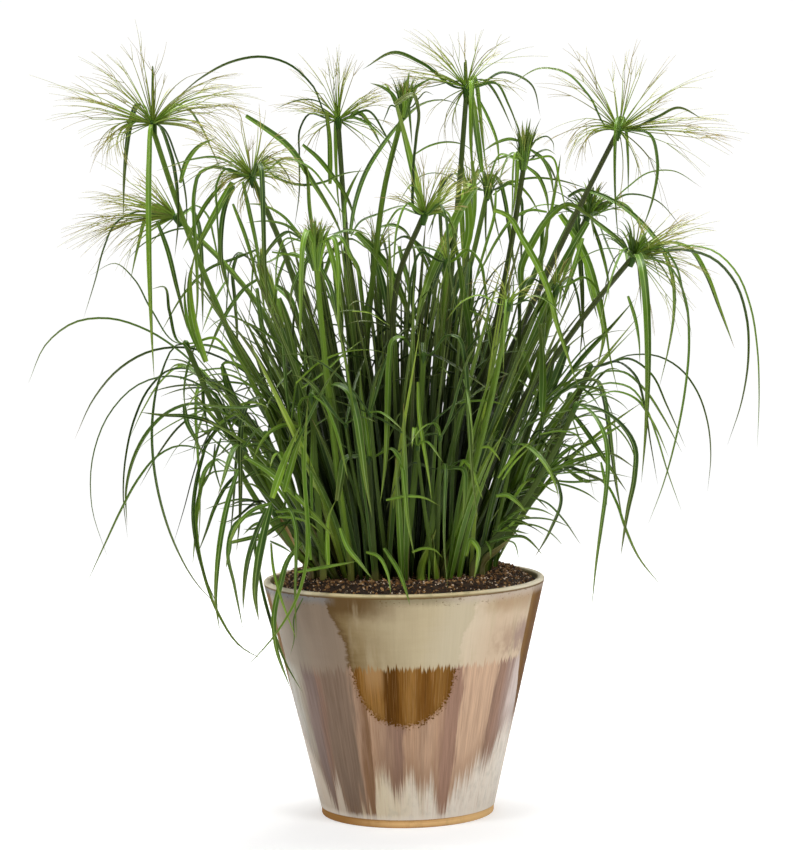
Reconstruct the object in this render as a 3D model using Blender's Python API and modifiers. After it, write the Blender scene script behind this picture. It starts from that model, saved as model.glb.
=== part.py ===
# A potted papyrus: a glazed pot with its potting mix, and a clump of three-sided stems that
# lean outwards. Each tall stem carries a crown, in which a whorl of long leaves and an umbel of
# thin rays grow from one knot. Shorter shoots with leaves of their own fill in the clump.
# Metres, +Z up. The origin is the middle of the pot's flat underside; -Y faces the viewer.

import math
import random

import bmesh
import bpy
import numpy as np
from mathutils import Vector

MM = 0.001
GAP = 0.3 * MM  # between pieces that touch

# The pot, from its flat underside to its rounded lip
RIM_RADIUS = 150 * MM
WALL_FOOT_RADIUS = 93.6 * MM
POT_HEIGHT = 253 * MM
WALL = 8.2 * MM
FLOOR = 12 * MM
LIP_HEIGHT = 4 * MM
LIP_POINTS = 5
FOOT_BAND = 9 * MM
FOOT_INSET = 1.2 * MM
FOOT_CHAMFER = 1.5 * MM
TURN_STEPS = 40
SEAM_MERGE = 0.01 * MM

# The potting mix: heaped a little above the lip in the middle, lower along the wall
SOIL_TOP = 260 * MM
SOIL_EDGE = 248 * MM
SOIL_FLAT_RADIUS = 116 * MM

# Stems, leaves and rays
FOOT_Z = SOIL_TOP + GAP
FOOT_RISE = 8 * MM  # the straight upright start of a stem
CULM_FOOT_RADIUS = 4.6 * MM
CULM_TOP_RADIUS = 3.4 * MM
CULM_SEGMENTS = 6
SHOOT_FOOT_RADIUS = 4.2 * MM
SHOOT_TOP_RADIUS = 3.0 * MM
SHOOT_SEGMENTS = 4
STEM_LEAN_BELOW = 1.35  # a stem leans most near its foot and straightens as it rises
STEM_LEAN_ABOVE = 0.65
KNOT_RADIUS = 5.5 * MM
LEAF_START = 9 * MM  # from the knot's middle to where a leaf leaves it
LEAF_BOW = 0.55
LEAF_RING_SPACING = 44 * MM
LEAF_RINGS = (3, 7)
LEAF_DEPTH = 0.34  # keel depth as a share of width
LEAF_LEAST_DEPTH = 0.9 * MM
LEAF_WIDEST = 0.35  # share of the length at which a leaf is widest
LEAF_BASE_WIDTH = 0.6
LEAF_TAPER = 1.8  # over 1: the leaf stays broad for longer before its tip
LEAF_SWEEP = 0.08
LEAF_TWIST = (20, 80)
LEVEL_FALL = 45  # how steeply a leaf's tip points down that drops as little as it can
PLUMB_FALL = 90
RISING_FALL = 40
STEM_DEPTH = 0.8  # keel depth of stems and rays as a share of width
RAY_COUNT = 8
RAY_WIDTH = 2.0 * MM
RAY_RING_SHARE = 0.35  # how far along a ray its one ring is
RAY_INNER_POLAR = 12
RAY_SPREAD = 0.6  # under 1: more of the rays lie well out
RAY_UNEVENNESS = 0.12  # of a ray's length
RAY_DROOP = 0.16
GOLDEN_ANGLE = 137.5
CLEARANCE = 0.6 * MM
POT_CLEARANCE = 3 * MM
OWN_CLEAR_FROM = 20 * MM  # strands of one knot may touch closer to it than this
TINY = 1e-15  # keeps a division by a length of nothing finite
NUDGES = (0, 6, -6, 12, -12, 18, -18, 25, -25, 32, -32, 40, -40, 50, -50, 62, -62, 75, -75, 90, -90)
REACHES = (1.0, 0.94, 1.06, 0.88)
SEED = 7

# Every tall stem. foot: x, y on the potting mix. crown: x, y, z of its top. rays: length of
# its rays, and the angle that they open to. lean: the direction that the rays lean in and by
# how much, where that isn't the stem's own. leaves: for each one, the direction seen from above
# in degrees (0 right, 90 away, 180 left, 270 near), how far the tip reaches out, how far it
# drops, the angle that the leaf sets out at and its width. Where the usual ones don't suit,
# the angle that the tip points down at and how far the leaf bows follow. by: places that the
# stem passes through, where it bends in a way of its own. Lengths are in mm.
HEADS = [
    dict(foot=(-55, -15), crown=(-254, -40, 738), rays=(135, 100), leaves=[
        (265, 26, 268, -60, 6.5, 100, 0.3), (310, 34, 140, -45, 6, 95, 0.35), (90, 8, -57, 85, 4.5),
        (110, 130, 100, 50, 6), (55, 120, 60, 50, 5.5), (40, 40, 120, -50, 5.5, 95, 0.35)]),
    dict(foot=(-50, -55), crown=(-147, -140, 680), rays=(100, 85),
         by=[(-93, -106, 522), (-119, -125, 610)], leaves=[
        (188, 62, 165, 30, 8), (215, 45, 110, 30, 6), (5, 100, 55, 50, 5),
        (60, 85, 20, 65, 5), (285, 75, 150, 35, 6)]),
    dict(foot=(-65, 35), crown=(-241, 80, 641), rays=(110, 65), lean=(180, 55),
         by=[(-121, 59, 462), (-144, 67, 528), (-181, 73, 580)], leaves=[
        (180, 103, 109, 20, 4.5), (130, 90, 70, 45, 5), (300, 60, 120, 30, 5),
        (50, 80, 100, 40, 5)]),
    dict(foot=(-30, 45), crown=(-63, 110, 744), rays=(95, 55), leaves=[
        (182, 183, -20, 72, 4.5, 45), (160, 55, 120, 30, 6), (20, 50, 30, 60, 5),
        (340, 70, 55, 45, 5), (90, 100, 120, 45, 6)]),
    dict(foot=(-40, -22), crown=(9, -30, 750), rays=(55, 45),
         by=[(-34, -25, 513), (-23, -27, 604), (-10, -28, 683)], leaves=[
        (185, 24, 18, 65, 3.5), (150, 33, -22, 60, 3.5), (355, 31, -13, 55, 3.5),
        (80, 45, 40, 45, 4)]),
    dict(foot=(10, 20), crown=(76, 40, 773), rays=(85, 80), leaves=[
        (178, 111, -22, 32, 6), (2, 79, 31, 55, 6, 100), (330, 66, 58, 30, 6.5),
        (280, 40, 110, 30, 6), (90, 8, -28, 85, 4.5), (75, 90, 90, 45, 5)]),
    dict(foot=(30, -30), crown=(130, -100, 692), rays=(60, 42), leaves=[
        (10, 34, -5, 55, 4), (345, 45, 60, 35, 4), (150, 50, 50, 50, 4),
        (100, 60, 60, 45, 5), (250, 50, 80, 40, 4)]),
    dict(foot=(55, 5), crown=(237, 20, 725), rays=(132, 95),
         by=[(116, 11, 484), (160, 15, 576), (205, 18, 665)], leaves=[
        (178, 115, -49, 62, 5), (358, 89, -10, 12, 6), (335, 24, 110, 15, 6.5, 115, 0.45),
        (80, 100, 70, 45, 5), (265, 60, 130, 40, 5)]),
    dict(foot=(-14, -55), crown=(27, -160, 639), rays=(70, 70), lean=(0, 20),
         by=[(-11, -118, 486), (-3, -137, 552), (4, -148, 595)], leaves=[
        (200, 30, -109, 80, 8.5), (350, 35, 30, 30, 4.5), (170, 48, 30, 40, 4),
        (240, 70, 90, 40, 5), (300, 60, 100, 35, 5)]),
    dict(foot=(30, 55), crown=(101, 150, 665), rays=(60, 60),
         by=[(56, 116, 506), (76, 130, 567), (91, 142, 626)], leaves=[
        (10, 60, 30, 50, 5), (170, 70, 50, 45, 5), (90, 90, 80, 40, 6),
        (320, 50, 120, 25, 7), (230, 50, 120, 25, 6)]),
    dict(foot=(-55, -85), crown=(-83, -190, 612), rays=(52, 60), leaves=[
        (150, 70, 30, 45, 4.5), (200, 50, 80, 30, 5), (340, 50, 40, 45, 4.5),
        (260, 80, 110, 40, 5.5), (305, 40, 100, 30, 5)]),
    dict(foot=(55, -50), crown=(243, -80, 592), rays=(88, 75), lean=(0, 40),
         by=[(123, -67, 436), (166, -73, 496), (208, -77, 551)], leaves=[
        (2, 95, 199, 18, 8, 114), (340, 128, 197, 22, 4, 95), (30, 128, 100, 30, 6),
        (315, 76, 83, 35, 5), (270, 60, 230, 10, 8.5, 95), (350, 12, 278, 0, 5, 115, 0.3)]),
    dict(foot=(55, 60), crown=(211, 140, 635), rays=(50, 60),
         by=[(120, 107, 464), (157, 123, 540), (186, 132, 588)], leaves=[
        (358, 127, -28, 40, 4), (330, 125, 21, 35, 4), (30, 100, 80, 45, 6),
        (180, 60, 120, 35, 7), (250, 40, 160, 25, 7.5), (100, 100, 100, 40, 5)]),
    dict(foot=(-45, 75), crown=(-153, 170, 589), rays=(48, 42), leaves=[
        (170, 50, 100, 45, 5), (90, 100, 80, 45, 5), (30, 60, 60, 50, 5),
        (220, 40, 120, 35, 5)]),
    dict(foot=(40, -72), crown=(108, -190, 547), rays=(62, 80), leaves=[
        (0, 58, 20, 40, 3), (180, 62, 15, 40, 3), (300, 80, 70, 25, 3)]),
    dict(foot=(-5, 70), crown=(-23, 120, 601), rays=(60, 60), leaves=[
        (95, 110, 90, 45, 6), (30, 90, 60, 45, 5), (150, 90, 90, 40, 6), (270, 50, 110, 40, 5)]),
    dict(foot=(45, 38), crown=(82, 185, 670), rays=(60, 60), leaves=[
        (70, 120, 80, 45, 6), (20, 80, 120, 40, 5), (120, 90, 60, 50, 5), (250, 40, 110, 40, 5)]),
    dict(foot=(-42, 12), crown=(-85, 60, 589), rays=(50, 55), leaves=[
        (180, 60, 90, 45, 6), (110, 80, 70, 45, 5), (330, 60, 110, 40, 6)]),
    dict(foot=(8, -12), crown=(50, -90, 590), rays=(45, 45), leaves=[
        (200, 50, 90, 45, 7), (320, 60, 100, 45, 7), (90, 50, 60, 50, 5)]),
    dict(foot=(58, -22), crown=(165, -40, 560), rays=(45, 45), leaves=[
        (330, 70, 110, 35, 6), (200, 50, 110, 40, 6), (60, 70, 80, 40, 5)]),
]

# Every shoot, written as the tall stems are, without rays
SHOOTS = [
    dict(foot=(-97, -12), crown=(-160, -20, 416), leaves=[
        (181, 233, -52, 65, 4.5, 75), (200, 157, 132, 60, 5, 115, 0.8), (163, 143, 106, 50, 6.5, 100)]),
    dict(foot=(-80, -30), crown=(-116, -50, 442), leaves=[
        (179, 227, 32, 50, 4.5, 70), (215, 70, 150, 30, 6), (110, 90, 90, 40, 5)]),
    dict(foot=(-104, 16), crown=(-173, 0, 370), leaves=[
        (178, 167, 119, 45, 4), (180, -24, 206, 20, 5.5, 170, 0.35), (130, 90, 110, 30, 5)]),
    dict(foot=(-88, -48), crown=(-223, -60, 509), leaves=[
        (185, -30, 280, -50, 6, 140, 0.3), (178, 99, -72, 45, 4), (150, 44, -56, 58, 4),
        (350, 60, 40, 30, 5)]),
    dict(foot=(77, -8), crown=(200, -30, 476), leaves=[
        (358, 122, 134, 28, 4, 100), (335, 105, 84, 25, 6), (310, 98, 120, 20, 6)]),
    dict(foot=(72, -72), crown=(180, -108, 441), leaves=[
        (345, 44, 157, -20, 7, 95), (292, 30, 206, -10, 5, 95), (20, 110, 60, 30, 4)]),
    dict(foot=(80, -56), crown=(150, -60, 366), leaves=[
        (355, 119, 119, 8, 5, 45), (335, -14, 89, -10, 5, 135, 0.25), (15, 101, -1, 15, 5)]),
    dict(foot=(-84, -78), crown=(-91, -130, 456), leaves=[
        (322, 76, 121, 40, 8), (190, 76, 279, -85, 9, 45, 0.5), (90, 60, 60, 50, 5)]),
    dict(foot=(-96, -62), crown=(-134, -100, 336), leaves=[
        (205, 36, 121, -5, 7, 95), (215, -32, 193, -20, 9, 125, 0.2), (10, 27, -88, 78, 9),
        (300, 46, 128, 20, 4)]),
    dict(foot=(-30, -92), crown=(-34, -125, 393), leaves=[
        (10, 50, -39, 45, 3), (190, 35, 44, 20, 7.5), (320, 59, 101, 35, 5.5),
        (170, 52, -12, 20, 2.5)]),
    dict(foot=(18, -90), crown=(39, -125, 379), leaves=[
        (335, 24, 52, 30, 6.5, 95), (20, 55, 30, 45, 4), (200, 60, 40, 40, 4),
        (280, 30, 120, 30, 4)]),
    dict(foot=(-82, 58), crown=(-150, 120, 400), leaves=[
        (165, 150, 60, 50, 5), (120, 100, 140, 35, 6), (200, 110, 120, 40, 5)]),
    dict(foot=(-15, 92), crown=(-40, 175, 430), leaves=[
        (95, 150, 40, 50, 5), (50, 100, 150, 35, 6), (135, 110, 130, 40, 5)]),
    dict(foot=(68, 82), crown=(130, 165, 420), leaves=[
        (80, 140, 60, 50, 5), (115, 90, 150, 35, 6), (40, 120, 110, 35, 5)]),
    dict(foot=(82, 28), crown=(185, 70, 440), leaves=[
        (25, 140, 70, 50, 5), (55, 110, 150, 35, 6), (0, 120, 130, 30, 5)]),
    dict(foot=(0, -93), crown=(24, -132, 496), leaves=[
        (200, 50, 150, 60, 7), (330, 60, 170, 55, 7), (90, 40, 90, 60, 6)]),
    dict(foot=(-93, 38), crown=(-190, 60, 455), leaves=[
        (190, 110, 160, 50, 5, 100), (150, 130, 60, 50, 4.5), (240, 60, 170, 30, 6)]),
    dict(foot=(40, 84), crown=(60, 140, 520), leaves=[
        (90, 110, 120, 50, 6), (20, 80, 150, 45, 6), (180, 70, 140, 50, 6)]),
]

FINISHES = {
    "glazed_pot": ((0.36, 0.27, 0.21), 0.28),
    "potting_mix": ((0.045, 0.024, 0.015), 0.95),
    "stem": ((0.075, 0.14, 0.03), 0.45),
    "leaf": ((0.09, 0.22, 0.035), 0.45),
}


def empty_scene():
    for thing in list(bpy.data.objects):
        bpy.data.objects.remove(thing)


def new_collection(name):
    group = bpy.data.collections.new(name)
    bpy.context.scene.collection.children.link(group)
    return group


def finish(piece, name):
    colour, roughness = FINISHES[name]
    material = bpy.data.materials.new(f"{piece.name}_{name}")
    material.use_nodes = True
    shader = material.node_tree.nodes["Principled BSDF"]
    shader.inputs["Base Color"].default_value = (*colour, 1)
    shader.inputs["Roughness"].default_value = roughness
    shader.inputs["Metallic"].default_value = 0
    piece.data.materials.append(material)


# Turned pieces: a profile beside the axis, swept round it by a Screw modifier

def wall_radius(z):
    share = (z - FOOT_BAND) / (POT_HEIGHT - LIP_HEIGHT - FOOT_BAND)
    return WALL_FOOT_RADIUS + share * (RIM_RADIUS - WALL_FOOT_RADIUS)


def pot_profile():
    shoulder = POT_HEIGHT - LIP_HEIGHT
    points = [(0, FLOOR), (wall_radius(FLOOR) - WALL, FLOOR)]
    for step in range(LIP_POINTS + 1):
        angle = math.pi * (1 - step / LIP_POINTS)
        points.append((RIM_RADIUS - WALL / 2 + WALL / 2 * math.cos(angle),
                       shoulder + LIP_HEIGHT * math.sin(angle)))
    foot = WALL_FOOT_RADIUS - FOOT_INSET
    points += [(WALL_FOOT_RADIUS, FOOT_BAND), (foot, FOOT_BAND - FOOT_INSET),
               (foot, FOOT_CHAMFER), (foot - FOOT_CHAMFER, 0), (0, 0)]
    return points


def soil_profile():
    bottom = FLOOR + GAP
    return [(0, SOIL_TOP), (SOIL_FLAT_RADIUS, SOIL_TOP),
            (wall_radius(SOIL_EDGE) - WALL - GAP, SOIL_EDGE),
            (wall_radius(bottom) - WALL - GAP, bottom), (0, bottom)]


def turned(name, profile, group, look):
    mesh = bpy.data.meshes.new(name)
    bm = bmesh.new()
    verts = [bm.verts.new((radius, 0, z)) for radius, z in profile]
    for first, second in zip(verts, verts[1:]):
        bm.edges.new((first, second))
    bm.to_mesh(mesh)
    bm.free()
    piece = bpy.data.objects.new(name, mesh)
    group.objects.link(piece)
    screw = piece.modifiers.new("turn", "SCREW")
    screw.steps = TURN_STEPS
    screw.render_steps = TURN_STEPS
    screw.use_merge_vertices = True
    screw.merge_threshold = SEAM_MERGE
    screw.use_smooth_shade = True
    finish(piece, look)


# Room: every strand that has its place, so that the next one can be set clear of them all

class Room:
    def __init__(self):
        self.starts = np.zeros((0, 3))
        self.ends = np.zeros((0, 3))
        self.radii = np.zeros(0)
        self.owners = []

    def add(self, owner, points, radii):
        self.starts = np.vstack([self.starts, points[:-1]])
        self.ends = np.vstack([self.ends, points[1:]])
        self.radii = np.concatenate([self.radii, np.maximum(radii[:-1], radii[1:])])
        self.owners += [owner] * (len(points) - 1)

    def is_clear(self, owner, points, radii):
        # strands of one knot may touch each other close to it
        starts, ends = points[:-1], points[1:]
        own_radii = np.maximum(radii[:-1], radii[1:])
        distance = segment_distance(starts, ends, self.starts, self.ends)
        needed = own_radii[:, None] + self.radii[None] + CLEARANCE
        own = np.array([name == owner for name in self.owners], dtype=bool)
        near = np.linalg.norm(starts - points[0], axis=1) < OWN_CLEAR_FROM
        allowed = near[:, None] & own[None]
        return bool(np.all((distance > needed) | allowed))


def segment_distance(start_a, end_a, start_b, end_b):
    # the shortest distance between each segment of the first set and each of the second
    along_a = (end_a - start_a)[:, None]
    along_b = (end_b - start_b)[None]
    between = start_a[:, None] - start_b[None]
    aa = (along_a * along_a).sum(-1)
    bb = np.maximum((along_b * along_b).sum(-1), TINY)
    ab = (along_a * along_b).sum(-1)
    a_between = (along_a * between).sum(-1)
    b_between = (along_b * between).sum(-1)
    spread = np.maximum(aa * bb - ab * ab, TINY)
    share_a = np.clip((ab * b_between - a_between * bb) / spread, 0, 1)
    share_b = np.clip((ab * share_a + b_between) / bb, 0, 1)
    share_a = np.clip((ab * share_b - a_between) / np.maximum(aa, TINY), 0, 1)
    gap = between + share_a[..., None] * along_a - share_b[..., None] * along_b
    return np.linalg.norm(gap, axis=-1)


def clears_pot(points, radii):
    # outside the wall below the lip, and never below the potting mix inside it
    for point, radius in zip(points, radii):
        outside = math.hypot(point[0], point[1]) - radius > wall_radius(point[2]) + POT_CLEARANCE
        if point[2] < POT_HEIGHT + POT_CLEARANCE + radius and not outside:
            return False
    return True


# Strands: the centre line of a stem, leaf or ray with its section at each ring

def bezier(p0, p1, p2, p3, share):
    rest = 1 - share
    return (rest ** 3 * p0 + 3 * rest ** 2 * share * p1
            + 3 * rest * share ** 2 * p2 + share ** 3 * p3)


def millimetres(values):
    return Vector([value * MM for value in values])


def smooth_line(places, segments):
    # points at equal steps along a smooth line through the places
    knots = [0.0]
    for one, two in zip(places, places[1:]):
        knots.append(knots[-1] + (two - one).length)
    slopes = np.gradient(np.array([tuple(place) for place in places]), knots, axis=0)
    points = []
    for step in range(segments + 1):
        spot = knots[-1] * step / segments
        piece = max(index for index in range(len(places) - 1) if knots[index] <= spot)
        span = knots[piece + 1] - knots[piece]
        handle = Vector(slopes[piece]) * span / 3
        hold = Vector(slopes[piece + 1]) * span / 3
        points.append(bezier(places[piece], places[piece] + handle, places[piece + 1] - hold,
                             places[piece + 1], (spot - knots[piece]) / span))
    return points


def stem_points(foot, crown, segments, by=()):
    ground = Vector((foot[0] * MM, foot[1] * MM, FOOT_Z))
    start = ground + Vector((0, 0, FOOT_RISE))
    if by:
        return [ground] + smooth_line([start] + [millimetres(place) for place in by] + [crown], segments)
    lean = Vector((crown.x - start.x, crown.y - start.y, 0))
    rise = Vector((0, 0, crown.z - start.z))
    below = start + (lean * STEM_LEAN_BELOW + rise) / 3
    above = crown - (lean * STEM_LEAN_ABOVE + rise) / 3
    return [ground] + [bezier(start, below, above, crown, step / segments)
                       for step in range(segments + 1)]


def stem_top(head, crown):
    # just short of the knot, on the side that the stem comes from
    way = crown - millimetres(head["by"][-1]) if "by" in head else Vector((0, 0, 1))
    return crown - way.normalized() * (KNOT_RADIUS + GAP)


def leaf_width(share):
    if share < LEAF_WIDEST:
        grow = math.sin(share / LEAF_WIDEST * math.pi / 2)
        return LEAF_BASE_WIDTH + (1 - LEAF_BASE_WIDTH) * grow
    return 1 - ((share - LEAF_WIDEST) / (1 - LEAF_WIDEST)) ** LEAF_TAPER


def usual_fall(reach, drop):
    if drop <= 0:
        return RISING_FALL
    return LEVEL_FALL + (PLUMB_FALL - LEVEL_FALL) * drop / (reach + drop)


class Strand:
    def __init__(self, points, widths, depths, twist=0.0, side=None, pointed=True):
        self.points = points
        self.widths = widths
        self.depths = depths
        self.twist = twist
        self.side = side
        self.pointed = pointed

    def array(self):
        return np.array([tuple(point) for point in self.points])

    def half_widths(self):
        return np.array([max(width / 2, depth) for width, depth in zip(self.widths, self.depths)])

    def ring(self, index):
        # right edge, left edge and keel, counter-clockwise seen from the tip
        last = len(self.points) - 1
        along = (self.points[min(index + 1, last)] - self.points[index - 1]).normalized()
        side = self.side or along.orthogonal()
        normal = along.cross(side).normalized()
        side = normal.cross(along)
        angle = self.twist * index / last
        side, normal = (side * math.cos(angle) + normal * math.sin(angle),
                        normal * math.cos(angle) - side * math.sin(angle))
        centre, half, depth = self.points[index], self.widths[index] / 2, self.depths[index]
        return [centre + side * half, centre - side * half, centre - normal * depth]


def leaf_strand(crown, leaf, turn, stretch, rng):
    azimuth, reach, drop, rise, width = leaf[:5]
    fall = math.radians(leaf[5] if len(leaf) > 5 else usual_fall(reach, drop))
    bow = leaf[6] if len(leaf) > 6 else LEAF_BOW
    rise = math.radians(rise)
    heading = math.radians(azimuth + turn)
    out = Vector((math.cos(heading), math.sin(heading), 0))
    up = Vector((0, 0, 1))
    side = up.cross(out)
    start = crown + out * LEAF_START
    tip = crown + out * reach * stretch * MM - up * drop * MM
    handle = bow * (tip - start).length
    first = start + handle * (out * math.cos(rise) + up * math.sin(rise))
    last = tip + handle * (up * math.sin(fall) - out * math.cos(fall))
    last += side * rng.uniform(-1, 1) * LEAF_SWEEP * (tip - start).length
    length = (first - start).length + (last - first).length + (tip - last).length
    rings = max(LEAF_RINGS[0], min(LEAF_RINGS[1], round(length / LEAF_RING_SPACING)))
    shares = [step / rings for step in range(rings + 1)]
    points = [crown] + [bezier(start, first, last, tip, share) for share in shares]
    widths = [width * MM * LEAF_BASE_WIDTH] + [width * MM * leaf_width(share) for share in shares]
    depths = [max(LEAF_DEPTH * wide, LEAF_LEAST_DEPTH) for wide in widths]
    twist = math.radians(rng.choice((-1, 1)) * rng.uniform(*LEAF_TWIST))
    return Strand(points, widths, depths, twist, side)


def ray_strand(knot, axis, index, length, opening, turn):
    share = (index + 0.5) / RAY_COUNT
    polar = math.radians(RAY_INNER_POLAR + (opening - RAY_INNER_POLAR) * share ** RAY_SPREAD)
    heading = math.radians(index * GOLDEN_ANGLE + turn)
    across = axis.orthogonal().normalized()
    beside = axis.cross(across)
    spread = across * math.cos(heading) + beside * math.sin(heading)
    out = axis * math.cos(polar) + spread * math.sin(polar)
    reach = length * MM * (1 - RAY_UNEVENNESS * (1 - math.cos(index * math.radians(GOLDEN_ANGLE))))
    points = [knot]
    for part in (RAY_RING_SHARE, 1.0):
        points.append(knot + out * reach * part - Vector((0, 0, RAY_DROOP * reach * part ** 2)))
    widths = [RAY_WIDTH, RAY_WIDTH, 0]
    depths = [STEM_DEPTH * wide for wide in widths]
    return Strand(points, widths, depths, side=out.orthogonal())


def stem_strand(points, foot_radius, top_radius):
    # drawn downwards from the knot, with a flat foot
    points = list(reversed(points))
    last = len(points) - 1
    widths = [2 * (top_radius + (foot_radius - top_radius) * index / last)
              for index in range(len(points))]
    depths = [STEM_DEPTH * wide for wide in widths]
    return Strand(points, widths, depths, side=Vector((1, 0, 0)), pointed=False)


# Knots: a small round solid with strands drawn out of its faces

def grown_solid(name, knot, strands, group, look):
    mesh = bpy.data.meshes.new(name)
    bm = bmesh.new()
    made = bmesh.ops.create_icosphere(bm, subdivisions=1, radius=KNOT_RADIUS)
    for vert in made["verts"]:
        vert.co += knot
    free = list(bm.faces)
    roots = []
    for strand in strands:
        out = (strand.points[1] - knot).normalized()
        face = max(free, key=lambda one: one.normal.dot(out))
        free.remove(face)
        roots.append(face)
    for strand, face in zip(strands, roots):
        draw_strand(bm, strand, face)
    bm.normal_update()
    bm.to_mesh(mesh)
    bm.free()
    mesh.shade_smooth()
    piece = bpy.data.objects.new(name, mesh)
    group.objects.link(piece)
    finish(piece, look)


def draw_strand(bm, strand, face):
    last = len(strand.points) - 1
    for index in range(1, last + 1):
        corners = strand.ring(index)
        if index == last and strand.pointed:
            corners = [strand.points[last]] * 3
        elif index == last:
            corners = [Vector((corner.x, corner.y, strand.points[last].z)) for corner in corners]
        if index == 1:
            here = [vert.co for vert in face.verts]
            shift = min(range(3), key=lambda turn: sum(
                (here[k] - corners[(k + turn) % 3]).length for k in range(3)))
        face = bmesh.ops.extrude_discrete_faces(bm, faces=[face])["faces"][0]
        for k, vert in enumerate(list(face.verts)):
            vert.co = corners[(k + shift) % 3]
    if strand.pointed:
        bmesh.ops.pointmerge(bm, verts=list(face.verts), merge_co=strand.points[last])


# Tall stems: a curve with a three-sided bevel, thinner towards its top

def stem_section(guides):
    curve = bpy.data.curves.new("stem_section", "CURVE")
    curve.dimensions = "2D"
    spline = curve.splines.new("POLY")
    spline.points.add(2)
    for index, point in enumerate(spline.points):
        angle = math.radians(90 - 120 * index)
        point.co = (math.cos(angle), math.sin(angle), 0, 1)
    spline.use_cyclic_u = True
    section = bpy.data.objects.new("stem_section", curve)
    section.hide_render = True
    section.display_type = "WIRE"
    guides.objects.link(section)
    return section


def culm(name, points, section, group):
    curve = bpy.data.curves.new(name, "CURVE")
    curve.dimensions = "3D"
    curve.twist_mode = "MINIMUM"
    curve.bevel_mode = "OBJECT"
    curve.bevel_object = section
    curve.use_fill_caps = True
    spline = curve.splines.new("POLY")
    spline.points.add(len(points) - 1)
    for index, (point, place) in enumerate(zip(spline.points, points)):
        share = index / (len(points) - 1)
        point.co = (*place, 1)
        point.radius = CULM_FOOT_RADIUS + (CULM_TOP_RADIUS - CULM_FOOT_RADIUS) * share
    piece = bpy.data.objects.new(name, curve)
    group.objects.link(piece)
    finish(piece, "stem")


# The plant, placed strand by strand: stems first, then leaves, then rays

def set_leaves(room, owner, crown, leaves, rng):
    placed = []
    for leaf in leaves:
        sway = rng.random()
        trials = ((turn, stretch) for stretch in REACHES for turn in NUDGES)
        for turn, stretch in trials:
            strand = leaf_strand(crown, leaf, turn, stretch, random.Random(sway))
            points, radii = strand.array(), strand.half_widths()
            if room.is_clear(owner, points[1:], radii[1:]) and clears_pot(points, radii):
                room.add(owner, points, radii)
                placed.append(strand)
                break
        else:
            print("no room for a leaf of", owner, leaf)
    return placed


def set_rays(room, owner, knot, axis, length, opening):
    placed = []
    for index in range(RAY_COUNT):
        for turn in NUDGES:
            strand = ray_strand(knot, axis, index, length, opening, turn)
            points, radii = strand.array(), strand.half_widths()
            if room.is_clear(owner, points[1:], radii[1:]):
                room.add(owner, points, radii)
                placed.append(strand)
                break
        else:
            print("no room for ray", index, "of", owner)
    return placed


def ray_axis(head, stem_end):
    if "lean" not in head:
        return stem_end
    heading, angle = (math.radians(value) for value in head["lean"])
    return Vector((math.sin(angle) * math.cos(heading), math.sin(angle) * math.sin(heading),
                   math.cos(angle)))


def main():
    empty_scene()
    parts = new_collection("potted_papyrus")
    guides = new_collection("guides")
    turned("pot", pot_profile(), parts, "glazed_pot")
    turned("soil", soil_profile(), parts, "potting_mix")

    rng = random.Random(SEED)
    room = Room()
    section = stem_section(guides)
    crowns, axes, stems = [], [], []
    for number, head in enumerate(HEADS, 1):
        name = f"culm_{number:02}"
        crown = millimetres(head["crown"])
        top = stem_top(head, crown)
        points = stem_points(head["foot"], top, CULM_SEGMENTS, head.get("by", ()))
        culm(name, points, section, parts)
        places = np.array([tuple(point) for point in points])
        radii = np.linspace(CULM_FOOT_RADIUS, CULM_TOP_RADIUS, len(points))
        if not room.is_clear(name, places, radii):
            print(name, "meets another stem")
        room.add(name, places, radii)
        crowns.append(crown)
        axes.append(ray_axis(head, (points[-1] - points[-2]).normalized()))
    for number, shoot in enumerate(SHOOTS, 1):
        name = f"shoot_{number:02}"
        stem = stem_strand(stem_points(shoot["foot"], millimetres(shoot["crown"]), SHOOT_SEGMENTS),
                           SHOOT_FOOT_RADIUS, SHOOT_TOP_RADIUS)
        if not room.is_clear(name, stem.array(), stem.half_widths()):
            print(name, "meets another stem")
        room.add(name, stem.array(), stem.half_widths())
        stems.append(stem)
    for number, crown in enumerate(crowns, 1):
        room.add(f"crown_{number:02}", np.array([crown, crown]), np.full(2, KNOT_RADIUS))

    crown_strands = [set_leaves(room, f"crown_{number:02}", crown, head["leaves"], rng)
                     for number, (head, crown) in enumerate(zip(HEADS, crowns), 1)]
    for number, (shoot, stem) in enumerate(zip(SHOOTS, stems), 1):
        name = f"shoot_{number:02}"
        leaves = set_leaves(room, name, stem.points[0], shoot["leaves"], rng)
        grown_solid(name, stem.points[0], [stem] + leaves, parts, "leaf")
    for number, (head, crown, axis) in enumerate(zip(HEADS, crowns, axes), 1):
        name = f"crown_{number:02}"
        rays = set_rays(room, name, crown, axis, *head["rays"])
        grown_solid(name, crown, crown_strands[number - 1] + rays, parts, "leaf")


main()
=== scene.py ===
import math

import bmesh
import bpy
import numpy as np
from mathutils import Matrix, Vector


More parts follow.
